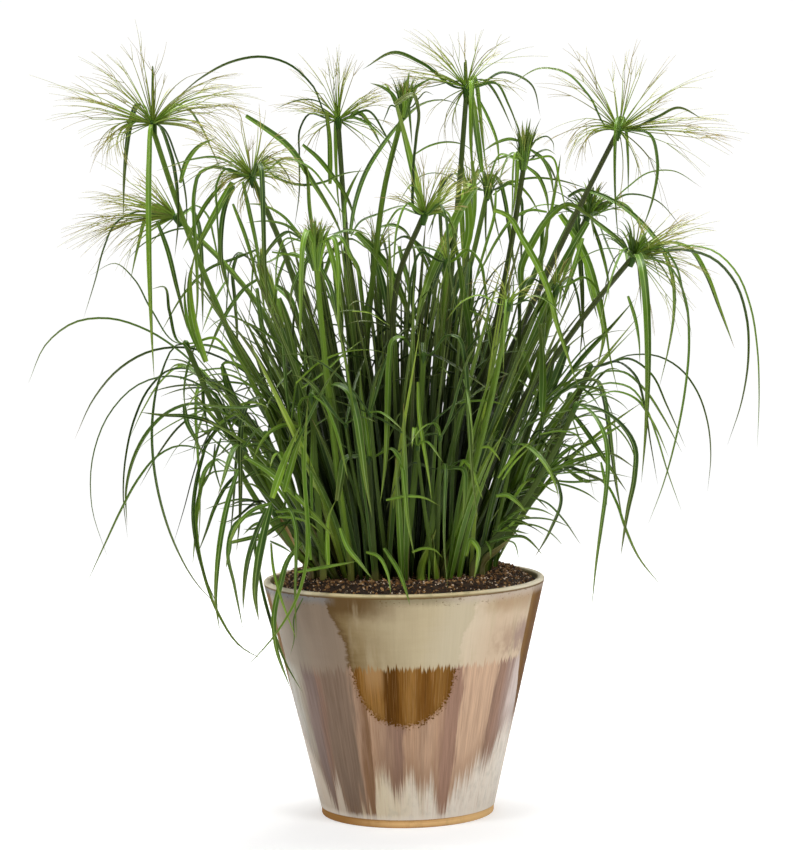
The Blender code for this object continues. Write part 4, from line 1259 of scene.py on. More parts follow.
    (3.2, 0.96, -120, -125, (498, 478), (508, 464), (520, 450), (535, 439)),
    (2.4, 0.86, -122, -126, (502, 480), (514, 463), (532, 445)),
    (3.0, 0.74, -150, -170, (386, 500), (408, 496), (425, 498), (440, 506)),
    (3.6, 0.80, -120, -140, (412, 552), (424, 548), (435, 550), (443, 558)),
    (4.4, 0.56, -110, -158, (384, 548), (398, 570), (405, 588), (410, 605)),
    (3.6, 0.72, -120, -150, (366, 552), (378, 556), (387, 572), (391, 594)),
    (3.4, 0.70, -120, -140, (298, 572), (320, 568), (342, 564), (358, 561)),
    (7.0, 0.86, -120, -120, (328, 566), (327, 540), (329, 515), (337, 498)),
    (5.0, 0.74, -130, -130, (340, 528), (348, 548), (360, 563), (373, 580)),
    (3.0, 0.94, -160, -130, (296, 383), (318, 363), (344, 352), (372, 350), (402, 359)),
    (2.4, 0.80, -150, -120, (302, 388), (324, 372), (346, 352), (366, 337)),
    (1.8, 1.30, -120, -120, (352, 311), (370, 313), (384, 322), (400, 331)),
    (5.0, 0.70, -140, -130, (369, 456), (365, 424), (361, 396), (360, 366)),
    (5.0, 0.62, -140, -130, (371, 456), (370, 420), (374, 386), (384, 358)),
    # the right side
    (5.0, 0.46, -60, -90, (548, 470), (562, 454), (576, 445), (592, 442)),
    (4.6, 0.66, -60, -90, (548, 473), (568, 463), (590, 456), (611, 449)),
    (2.4, 0.50, -60, -60, (550, 480), (572, 482), (600, 480), (622, 482)),
    (2.2, 0.50, -60, -90, (551, 482), (572, 487), (588, 494), (600, 503)),
    (4.6, 0.62, -130, -150, (496, 496), (507, 495), (517, 502), (527, 513)),
    (2.2, 0.30, -100, -120, (531, 497), (547, 503), (563, 519), (581, 545)),
    (3.2, 0.36, -80, -100, (490, 542), (508, 537), (524, 537), (536, 547), (543, 556)),
    (3.2, 0.40, -80, -100, (492, 531), (510, 530), (529, 534)),
    (2.0, 0.36, -80, -60, (508, 522), (530, 518), (552, 520), (572, 528)),
    (2.6, 0.44, -100, -90, (508, 519), (524, 509), (541, 510), (556, 517)),
    (2.2, 0.62, -90, -110, (504, 540), (514, 543), (519, 559)),
    (2.6, 0.50, -80, -90, (486, 541), (490, 548), (491, 560)),
    (5.4, 0.36, -70, -110, (568, 408), (584, 428), (600, 452), (612, 470), (627, 492)),
    (3.4, 0.62, -110, -120, (540, 434), (560, 431), (575, 434), (588, 450), (602, 464)),
    (2.6, 0.60, -90, -120, (572, 420), (590, 415), (606, 420), (622, 433), (633, 452), (636, 478)),
    (3.2, 0.66, -90, -110, (594, 441), (606, 434), (616, 428), (627, 422)),
    (2.8, 0.46, -70, -90, (550, 442), (568, 446), (584, 456), (600, 464)),
    (2.4, 0.35, -60, -100, (590, 384), (606, 400), (615, 424), (617, 450), (615, 468)),
    (2.4, 0.40, -60, -80, (578, 386), (590, 394), (600, 408)),
    (3.4, 0.50, -110, -140, (601, 462), (605, 482), (607, 506)),
    (2.0, 0.45, 0, 20, (545, 472), (575, 470), (604, 472), (634, 478)),
]


seenShape = {
    "rings": 26,
    "brightest": 0.60,       # tones above this are drawn in towards it
    "drawnIn": 0.45,
    "roll": 0.45,
    "twist": 0.5,
    "dryTips": 0.3,
}


def growSeenLeaves(bladeFace):
    rng = np.random.default_rng(seeds["seen"])
    shape = seenShape
    spines, rows = [], []
    for width, tone, first, last, *spots in seenLeaves:
        kind = spots.pop() if spots[-1] in ("blunt", "straw") else "leaf"
        depths = np.linspace(first, last, len(spots)) * mm
        spines.append(smoothThrough(onPicture(np.array(spots, float), depths), shape["rings"])[0])
        rows.append((width * mm, tone, kind == "blunt", kind == "straw"))
    count = len(rows)
    spines = np.array(spines)
    width, tone, blunt, straw = np.array(rows, float).T
    tone = np.minimum(tone, shape["brightest"] + shape["drawnIn"] * (tone - shape["brightest"]))
    hint = np.cross(np.gradient(spines, axis=1), np.array([0.0, 1.0, 0.0]))
    roll = rng.normal(0, shape["roll"], count)
    tipDry = driedTips(count, rng, shape["dryTips"]) * (blunt == 0)
    bundle = Bundle()
    sweepBlades(bundle, spines, hint, width, tone, tipDry, blunt, roll,
                rng.normal(0, shape["twist"], count), straw)
    settle(bundle.piece("singleLeaves", bladeFace), "leaf")


# Small fans of leaves low on both sides: where each starts in the picture, its depth in mm, its
# leaves, and the direction that they face, in degrees from the right towards the back

fanShape = {
    "spread": 38,                 # degrees to both sides
    "rise": (10, 62),
    "reach": (22 * mm, 74 * mm),
    "drop": (-48 * mm, 22 * mm),
    "width": (3.0 * mm, 6.0 * mm),
    "tones": (0.10, 0.70),
    "rings": 14,
    "scatter": 3 * mm,
    "fall": (20, 80),             # degrees, from the start to the tip
    "bow": 0.4,
    "twist": 0.8,
    "dryTips": 0.3,
    "fans": [(552, 470, -50, 12, -8), (533, 446, -60, 10, -20), (512, 500, -80, 8, -20),
             (560, 424, -40, 5, -10), (577, 402, -30, 4, 0), (500, 530, -84, 7, -24),
             (528, 480, -70, 8, -30), (545, 400, -60, 5, 0), (286, 470, -84, 7, 196),
             (266, 506, -84, 5, 200), (268, 442, -60, 7, 190), (242, 418, -50, 6, 188),
             (298, 522, -96, 6, 206), (236, 446, -60, 5, 180), (222, 390, -40, 5, 176)],
}


def growFans(bladeFace):
    rng = np.random.default_rng(seeds["fan"])
    shape = fanShape
    bundle = Bundle()
    for x, y, depth, count, facing in shape["fans"]:
        start = onPicture(np.array([(x, y)], float), np.array([depth * mm]))
        start = start + rng.normal(0, shape["scatter"], (count, 3))
        heading = np.radians(facing + rng.uniform(-1, 1, count) * shape["spread"])
        rise = rng.uniform(*shape["rise"], count)
        fall = rise - rng.uniform(*shape["fall"], count)
        reach, drop = rng.uniform(*shape["reach"], count), rng.uniform(*shape["drop"], count)
        spine, hint = arcBlades(start, heading, np.radians(rise), reach, drop, np.radians(-fall),
                                shape["bow"], shape["rings"])
        sweepBlades(bundle, spine, hint, rng.uniform(*shape["width"], count),
                    rng.uniform(*shape["tones"], count), driedTips(count, rng, shape["dryTips"]),
                    twist=rng.normal(0, shape["twist"], count))
    settle(bundle.piece("leafFans", bladeFace), "leaf")


# Young growth that fills the clump: short shoots with a fan of leaves, straps that rise from the
# potting mix, and a few tillers that have only just come up

youngShape = {
    "shoots": 42,
    "footRadius": 98 * mm,
    "knotHeights": (340 * mm, 520 * mm),
    "heightShares": (0.6, 1.0),
    "lean": 1.8,                  # how much further out a knot lies than its foot
    "leanShares": (0.8, 1.2),
    "leanMore": 18 * mm,
    "scatter": 0.2,               # radians, for the foot and again for the knot
    # painted shade: the stems nearest the middle get darker tones, as the clump shades them
    "tones": (0.15, 0.5),         # of the innermost stem, and what is gained outwards
    "toneShares": (0.6, 1.2),
    "stemRadii": (3.6 * mm, 2.4 * mm),
    "stemLow": (0.45, 0.45, 0.36),      # how a stem sets out and comes in, as shares of its reach
    "stemHigh": (0.22, 0.22, 0.33),
    "stemReadings": 9,
    "stemRings": 16,
    "blades": (3, 6),
    "bladeReach": (50 * mm, 150 * mm),
    "bladeDrop": (-110 * mm, 60 * mm),
    "bladeWidth": (2.4 * mm, 6.2 * mm),
    "bladeRise": (20, 75),        # degrees above level at the knot
    "bladeFall": (5, 60),         # and below a straight line at the tip
    "bladeBow": (0.25, 0.5),
    "bladeScatter": 0.3,
    "bladeTwist": 0.6,
    "bladeTones": (-0.2, 0.25),   # against the stem's
    "bladeRings": 18,
    "lowest": 281 * mm,           # no tip hangs lower than this near the pot
}

strapShape = {
    "reach": 262 * mm,            # from the pot's axis
    "sunk": 2 * mm,
    "dryLength": 0.06,
    "lean": (0.25, 0.75),         # radians from upright, for a strap that stands furthest out
    "hang": (1.1, 1.9),           # of that lean at the tip
    "bow": 0.36,
    "drift": 0.35,                # radians
    "twist": 1.2,
    "roll": 0.9,
    # painted shade: the straps nearest the middle get darker tones, as the clump shades them
    "tones": (0.08, 0.5, 0.2),    # of the innermost, what is gained outwards, and the scatter
    # how many, from and to which length, the rings, from and to which width, and how far out
    "outer": (240, (150 * mm, 360 * mm), 20, (4.5 * mm, 8.5 * mm), 98 * mm),
    "tillers": (40, (40 * mm, 120 * mm), 14, (3 * mm, 5.5 * mm), 98 * mm),
    "core": (100, (230 * mm, 400 * mm), 16, (6 * mm, 9.5 * mm), 70 * mm),
}


def youngStem(bundle, foot, knot, tone, rng):
    shape = youngShape
    leaving, arriving = ((knot - foot) * np.array(shape[name]) for name in ("stemLow", "stemHigh"))
    rings = shape["stemReadings"]
    line = bezier(foot[None], leaving, arriving, knot[None], rings)[0]
    radii = np.linspace(*shape["stemRadii"], rings)[:, None] * min(1.0, 0.7 + knot[2] - foot[2])
    hints = np.repeat(outwards(rng.uniform(0, 2 * math.pi))[None], rings, 0)
    sweepStem(bundle, line, hints, radii, tone, shape["stemRings"], 1)
    return line, hints, radii


def growYoungShoots(bladeFace, stemFace):
    rng = np.random.default_rng(seeds["young"])
    shape = youngShape
    bundle = Bundle()
    stems = []
    for number in range(shape["shoots"]):
        share = (number + 0.5) / shape["shoots"]
        heading = number * goldenAngle + rng.normal(0, shape["scatter"])
        footOut = shape["footRadius"] * math.sqrt(share)
        foot = outwards(heading) * footOut + upward * footHeight
        low, high = shape["knotHeights"]
        height = high - (high - low) * share ** 0.8 * rng.uniform(*shape["heightShares"])
        lean = footOut * shape["lean"] * rng.uniform(*shape["leanShares"])
        lean = lean + rng.uniform(0, shape["leanMore"])
        drift = heading + rng.normal(0, shape["scatter"])
        knot = outwards(drift) * lean + upward * height
        # painted shade: darker tones towards the middle of the clump
        innerShade, gain = shape["tones"]
        tone = innerShade + gain * share * rng.uniform(*shape["toneShares"])
        stems.append((*youngStem(bundle, foot, knot, tone, rng), rng))
        growCup(bundle, knot, unit(knot - foot), 0.3, 0.55)

        count = int(rng.integers(*shape["blades"], endpoint=True))
        around = fullTurn(count) - math.pi + rng.normal(0, shape["bladeScatter"], count)
        reach = rng.uniform(*shape["bladeReach"], count) * (0.8 + 0.2 * np.cos(around))
        drop = np.minimum(rng.uniform(*shape["bladeDrop"], count), height - shape["lowest"])
        rise = np.radians(rng.uniform(*shape["bladeRise"], count))
        fall = np.arctan2(drop, reach) + np.radians(rng.uniform(*shape["bladeFall"], count))
        spine, hint = arcBlades(knot, drift + around, rise, reach, drop, fall,
                                rng.uniform(*shape["bladeBow"], count), shape["bladeRings"])
        width = rng.uniform(*shape["bladeWidth"], count)
        tones = np.clip(tone + rng.uniform(*shape["bladeTones"], count), 0.05, 0.95)
        sweepBlades(bundle, spine, hint, width, tones, driedTips(count, rng),
                    twist=rng.normal(0, shape["bladeTwist"], count))
    settle(bundle.piece("youngShoots", bladeFace, stemFace), "leaf")
    return stems


def growStraps(bladeFace):
    rng = np.random.default_rng(seeds["young"] + 1)
    shape = strapShape
    bundle = Bundle()
    widest = youngShape["footRadius"]
    for kind in ("outer", "tillers", "core"):
        count, lengths, rings, widths, radius = shape[kind]
        heading = rng.uniform(0, 2 * math.pi, count)
        footOut = radius * np.sqrt(rng.random(count))
        start = outwards(heading) * footOut[:, None] + upward * (footHeight - shape["sunk"])
        length = rng.uniform(*lengths, count)
        lean = footOut / widest * rng.uniform(*shape["lean"], count)
        reach = np.minimum(length * np.sin(lean), shape["reach"] - footOut)
        drop = -length * np.cos(lean)
        rise = np.radians(90) - lean * 0.6
        fall = lean * rng.uniform(*shape["hang"], count) - np.radians(90)
        drift = heading + rng.normal(0, shape["drift"], count)
        spine, hint = arcBlades(start, drift, rise, reach, drop, fall, shape["bow"], rings)
        width = rng.uniform(*widths, count)
        # painted shade: darker tones towards the middle of the clump
        innerShade, gain, scatter = shape["tones"]
        tone = np.clip(innerShade + gain * footOut / widest + rng.normal(0, scatter, count), 0, 1)
        tipDry = driedTips(count, rng, length=shape["dryLength"])
        twist, roll = (rng.normal(0, shape[name], count) for name in ("twist", "roll"))
        sweepBlades(bundle, spine, hint, width, tone, tipDry, roll=roll, twist=twist)
    settle(bundle.piece("strapLeaves", bladeFace), "leaf")


# Potting mix: a heaped, lumpy surface with loose bark and perlite

mixShape = {
    "edgeHeight": 248 * mm,
    "flatRadius": 116 * mm,
    "turns": 150,
    "rings": 46,
    "lumps": 1.5 * mm,
    "dips": 0.8,           # of the lumps, all of them below the mound
    "waves": 14,
    "pitch": (120, 900),   # radians to the metre
    "grains": 8600,
    "grainSize": (0.7 * mm, 1.8 * mm),
    "grainStretch": (1.0, 0.85, 0.7),
    "chips": 320,
    "chipSize": (1.8 * mm, 3.6 * mm),
    "chipStretch": (1.6, 0.7, 0.4),
    "stretches": (0.7, 1.3),
    "uneven": 0.16,        # of a grain's size
    "tilt": 0.5,
    "proud": 0.25,         # of its size, how far its middle stands above the mix
    "edgeGap": 3 * mm,
    "tone": 0.16,
    "grainTones": (0.0, 0.95),
    "perlite": 0.22,       # share of the grains that are pale
    "perliteSize": 0.8,
    "colours": [(0.0, paint(20, 10, 3)), (0.40, paint(66, 42, 16)), (0.75, paint(132, 92, 48)),
                (1.0, paint(192, 150, 100))],
    "perliteColours": (paint(150, 116, 86), paint(228, 206, 180)),
}


def lumpy(x, y, rng):
    # a smooth uneven height from a few crossing waves
    total, waves = 0, mixShape["waves"]
    for wave in range(waves):
        turn = rng.uniform(0, 2 * math.pi)
        pitch = rng.uniform(*mixShape["pitch"]) * (1 + wave / waves)
        total = total + np.sin((x * math.cos(turn) + y * math.sin(turn)) * pitch + rng.uniform(0, 6.3))
    return mixShape["lumps"] * total / math.sqrt(waves)


def mixHeight(x, y):
    flat = mixShape["flatRadius"]
    share = np.clip((np.hypot(x, y) - flat) / (mixRadius - flat), 0, 1)
    top = footHeight - footGap
    slope = (top - mixShape["edgeHeight"]) * (1 - np.cos(share * math.pi)) / 2
    lumps = lumpy(x, y, np.random.default_rng(seeds["grain"]))
    return top - slope - np.abs(lumps) * mixShape["dips"]


def makeMixFinish():
    g = Finish("barkMix")
    _, _, tone, pale = g.marks()
    grit = g.noise(g.place(), 420.0, 5.0, 0.7)
    broad = g.noise(g.place(), 60.0, 2.0)
    shade = tone + (grit - 0.5) * 0.9 + (broad - 0.5) * 0.3
    perlite = g.mix(g.smooth(tone, 0.1, 0.8), *mixShape["perliteColours"])
    return g.dress(Base_Color=g.mix(pale, g.ramp(shade, mixShape["colours"]), perlite),
                   Roughness=g.smooth(grit, 0.3, 0.7, 0.75, 0.95), Normal=g.bump(grit, 0.6, 0.001))


def turnedMesh(profile, turns):
    # a closed turned body: the profile starts and ends on the axis
    radii, heights = np.array(profile)[1:-1].T
    rings = outwards(fullTurn(turns)) * radii[:, None, None] + upward * heights[:, None, None]
    row = np.arange(turns)
    after = (row + 1) % turns
    first = np.arange(len(radii) - 1)[:, None] * turns
    quads = np.stack([first + row, first + turns + row, first + turns + after, first + after], -1)
    ends, last = len(radii) * turns, (len(radii) - 1) * turns
    fans = np.concatenate([np.stack([0 * row + ends, row, after], -1),
                           np.stack([0 * row + ends + 1, last + after, last + row], -1)])
    tips = [(0, 0, profile[0][1]), (0, 0, profile[-1][1])]
    return np.concatenate([rings.reshape(-1, 3), tips]), quads.reshape(-1, 4).tolist() + fans.tolist()


def inTone(tone):
    # the marks of a piece that isn't swept: only its tone counts
    return np.stack([0 * tone, 0 * tone, tone], -1)


def tilted(cloud, angle, first, second):
    # grains turned in the plane of two of their axes
    cosine, sine = np.cos(angle)[:, None], np.sin(angle)[:, None]
    a, b = cloud[..., first].copy(), cloud[..., second].copy()
    cloud[..., first], cloud[..., second] = a * cosine - b * sine, a * sine + b * cosine


def makeMixPieces():
    shape = mixShape
    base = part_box("soil")[0].z
    points, _ = weldedNet("soil")
    baseRadius = np.hypot(points[:, 0], points[:, 1])[points[:, 2] < base + mm].max()
    profile = [(radius, 0.0) for radius in np.linspace(0, mixRadius, shape["rings"])]
    points, faces = turnedMesh([*profile, (baseRadius, base), (0, base)], shape["turns"])
    heaped = points[:, 2] == 0
    points[heaped, 2] = mixHeight(points[heaped, 0], points[heaped, 1])
    finish = makeMixFinish()
    tone = np.full(len(points), shape["tone"])
    mix = meshPiece("pottingMix", points, faces, [finish], inTone(tone), 0 * tone)
    settle(mix, "potting_mix", "soil")

    # the loose grains are uneven little balls, and the bark chips are longer and flatter
    rng = np.random.default_rng(seeds["grain"] + 1)
    pattern = bmesh.new()
    bmesh.ops.create_icosphere(pattern, subdivisions=1, radius=1)
    ball = np.array([vert.co for vert in pattern.verts])
    facets = np.array([[vert.index for vert in face.verts] for face in pattern.faces])
    pattern.free()
    count = shape["grains"] + shape["chips"]
    chip = np.arange(count) >= shape["grains"]
    large, small = (rng.uniform(*shape[name], count) for name in ("chipSize", "grainSize"))
    size = np.where(chip, large, small)
    stretch = np.where(chip[:, None], shape["chipStretch"], shape["grainStretch"])
    stretch = stretch * rng.uniform(*shape["stretches"], (count, 3))
    pale = (rng.random(count) < shape["perlite"]) & ~chip
    size = np.where(pale, size * shape["perliteSize"], size)
    cloud = ball * (1 + rng.normal(0, shape["uneven"], (count, len(ball), 1)))
    cloud = cloud * stretch[:, None] * size[:, None, None]
    spin, tilt = rng.uniform(0, 2 * math.pi, count), rng.normal(0, shape["tilt"], count)
    tilted(cloud, -tilt, 0, 2)
    tilted(cloud, spin, 0, 1)
    out = (mixRadius - shape["edgeGap"]) * np.sqrt(rng.random(count))
    spots = outwards(rng.uniform(0, 2 * math.pi, count)) * out[:, None]
    spots[:, 2] = mixHeight(spots[:, 0], spots[:, 1]) + size * shape["proud"]
    triangles = facets + (np.arange(count) * len(ball))[:, None, None]
    tone = rng.uniform(*shape["grainTones"], count)
    tone, pale = (np.repeat(part, len(ball)) for part in (tone, pale * 1.0))
    cloud = (cloud + spots[:, None]).reshape(-1, 3)
    grains = meshPiece("barkAndPerlite", cloud, triangles.reshape(-1, 3).tolist(), [finish],
                       inTone(tone), pale, smooth=False)
    settle(grains, "potting_mix")


# The pot: a turned wall with a rounded bare lip and a bare foot, and a run glaze between them

potShape = {
    "turns": 192,
    "wallFoot": 93.6 * mm,       # outside radius where the wall meets the foot band
    "footBand": 9 * mm,
    # its section: how far in from the wall's foot, and how high
    "footSection": ((5.7 * mm, 0), (2.7 * mm, 0), (1.6 * mm, 0.4 * mm), (1.2 * mm, 1.5 * mm),
                    (1.2 * mm, 7 * mm), (1.1 * mm, 7.6 * mm), (0.25 * mm, 8.1 * mm), (0, 8.8 * mm)),
    "thickness": 8.2 * mm,
    "lip": 3 * mm,
    "floor": 12 * mm,
    "wallRings": 90,
    "insideRings": 24,
    "lipRings": 13,
    "sharp": 50,                 # degrees
    "throwing": 0.16 * mm,       # height of the faint rings left by the potter's fingers
    "throwingPitch": (0.25, 1.1),       # radians to the mm
    "throwingWaves": 5,
    "runs": 0.22 * mm,           # thickness of the glaze runs
    "runTurns": (9, 60),         # how many go round the pot
    "runWaves": 12,
    "gloss": 0.24,               # roughness of the glaze, and where it is bare
    "bareGloss": 0.72,
}

# The glaze colours on the left of the front are darker partly as painted shade, as less light falls on
# that side.
glaze = {
    "greyStone": (151, 139, 123), "stone": (144, 128, 112), "darkStone": (137, 120, 103),
    "umber": (94, 72, 42), "olive": (126, 106, 72), "oliveBeige": (150, 133, 101),
    "beige": (168, 153, 122), "warmBeige": (182, 167, 136), "paleBeige": (190, 177, 150),
    "cream": (206, 190, 165), "tanCream": (200, 178, 152), "pinkTan": (172, 146, 122),
    "pinkMauve": (156, 132, 120), "tan": (164, 137, 105), "sideBrown": (106, 72, 32),
    "sideAmber": (126, 93, 50), "lilac": (200, 184, 176), "paleGrey": (168, 162, 149),
    "mauve": (126, 108, 100), "taupe": (126, 106, 90), "roseBrown": (136, 108, 92),
    "warmBrown": (130, 99, 74), "plum": (154, 122, 104), "dustyTan": (160, 131, 108),
    "sandTan": (172, 140, 114), "lightTan": (184, 152, 126), "salmon": (192, 161, 135),
    "footCream": (210, 196, 168), "footGrey": (192, 178, 162), "milk": (222, 212, 198),
    "darkAmber": (84, 52, 12), "amber": (112, 74, 26), "lightAmber": (136, 98, 48),
    "tanAmber": (160, 124, 82), "blueGrey": (130, 128, 126), "greyOlive": (120, 112, 86),
    "paleLilac": (184, 170, 156), "lip": (146, 130, 92), "lipLight": (206, 190, 150),
    "lipPale": (228, 218, 196), "lipShadowLine": (100, 76, 44), "clay": (216, 172, 116),
    "clayLight": (228, 190, 134), "clayDark": (164, 120, 68),
}
glaze = {name: paint(*tones) for name, tones in glaze.items()}

# What runs down the lower wall, by the direction in degrees: 0 is the front, 90 the right side.
# The first table is for the front, the second goes on round the back.
# The pale grey and lilac towards both edges are partly the glaze's colour and partly a painted
# highlight where the sides catch the light.
lowerRuns = [
    (-80, "paleGrey"), (-66, "paleGrey"), (-61, "greyStone"), (-57, "mauve"), (-51, "mauve"),
    (-47, "roseBrown"), (-43, "taupe"), (-40, "taupe"), (-35, "taupe"), (-28, "taupe"),
    (-25, "dustyTan"), (-22, "warmBrown"), (-19.5, "warmBrown"), (-18, "sandTan"),
    (-13, "dustyTan"), (-6, "roseBrown"), (-2, "roseBrown"), (0, "sandTan"), (5, "sandTan"),
    (9, "dustyTan"), (13, "lightTan"), (16, "sandTan"), (19, "plum"), (26, "plum"),
    (27.5, "salmon"), (45, "salmon"), (47.5, "roseBrown"), (51, "plum"), (57, "pinkMauve"),
    (63, "lilac"), (80, "lilac"),
]
backRuns = [
    (-180, "mauve"), (-164, "dustyTan"), (-148, "taupe"), (-132, "salmon"), (-114, "roseBrown"),
    (-96, "greyStone"), (-80, "paleGrey"), (80, "lilac"), (98, "plum"), (116, "sandTan"),
    (134, "salmon"), (150, "taupe"), (166, "roseBrown"), (180, "mauve"),
]

# How high the cream reaches up from the foot, in mm, in the same directions
creamTops = [
    (-80, 100), (-66, 78), (-60, 54), (-56, 44), (-51, 16), (-48, 56), (-45, 60), (-42.5, 16),
    (-39, 8), (-36, 6), (-28, 15), (-21, 12), (-19, 44), (-17, 70), (-12, 64), (-7, 46), (-3, 52),
    (1, 66), (5, 56), (9, 40), (14, 60), (18, 30), (22, 8), (25, 30), (28, 52), (35, 52), (42, 74),
    (50, 74), (56, 86), (64, 104), (80, 112),
]
backTops = [
    (-180, 50), (-150, 26), (-120, 64), (-80, 118), (80, 112), (110, 40), (140, 72), (180, 50),
]

# The broad colours of the upper band, and of the thin band under the lip
upperBands = [
    (-180, "warmBeige"), (-150, "oliveBeige"), (-120, "stone"), (-85, "greyStone"),
    (-60, "greyStone"), (-45, "stone"), (-33, "darkStone"), (-26.4, "darkStone"), (-25.6, "umber"),
    (-22, "olive"), (-14, "oliveBeige"), (-4, "beige"), (6, "warmBeige"), (16, "paleBeige"),
    (24.6, "paleBeige"), (25.4, "cream"), (40, "tanCream"), (62, "tanCream"), (90, "greyStone"),
    (120, "oliveBeige"), (150, "beige"), (180, "warmBeige"),
]
# the blue-grey of the band under the lip is partly a painted reflection
lipBand = [
    (-180, "greyOlive"), (-100, "blueGrey"), (-34, "blueGrey"), (-28, "umber"), (-15, "umber"),
    (-4, "greyOlive"), (12, "greyOlive"), (26, "paleLilac"), (100, "paleLilac"),
    (180, "greyOlive"),
]

# The amber patch, from its left to its right edge
patchRuns = [
    (-30, "darkAmber"), (-22.5, "amber"), (-19, "lightAmber"), (-11.5, "lightAmber"),
    (-10.4, "darkAmber"), (-5, "darkAmber"), (-3, "amber"), (1, "lightAmber"), (4, "lightAmber"),
    (6, "amber"), (12, "amber"), (16, "lightAmber"), (20, "amber"), (30, "darkAmber"),
]

# Its middle and half its width in degrees, its top and its depth in mm
patchShape = {"middle": -0.96, "halfWidth": 24.0, "top": 173.0, "depth": 61.0, "roundness": 2.2}

# The bare foot, by the height in cm, and how the streaks change a colour
footClay = [(0.0, "clayDark"), (0.22, "clay"), (0.50, "clayLight"), (0.56, "clay"), (0.78, "clay"),
            (0.86, "clayDark")]
streakTints = [(0.2, (0.62, 0.56, 0.52, 1)), (0.5, (1, 1, 1, 1)), (0.8, (1.42, 1.40, 1.36, 1))]


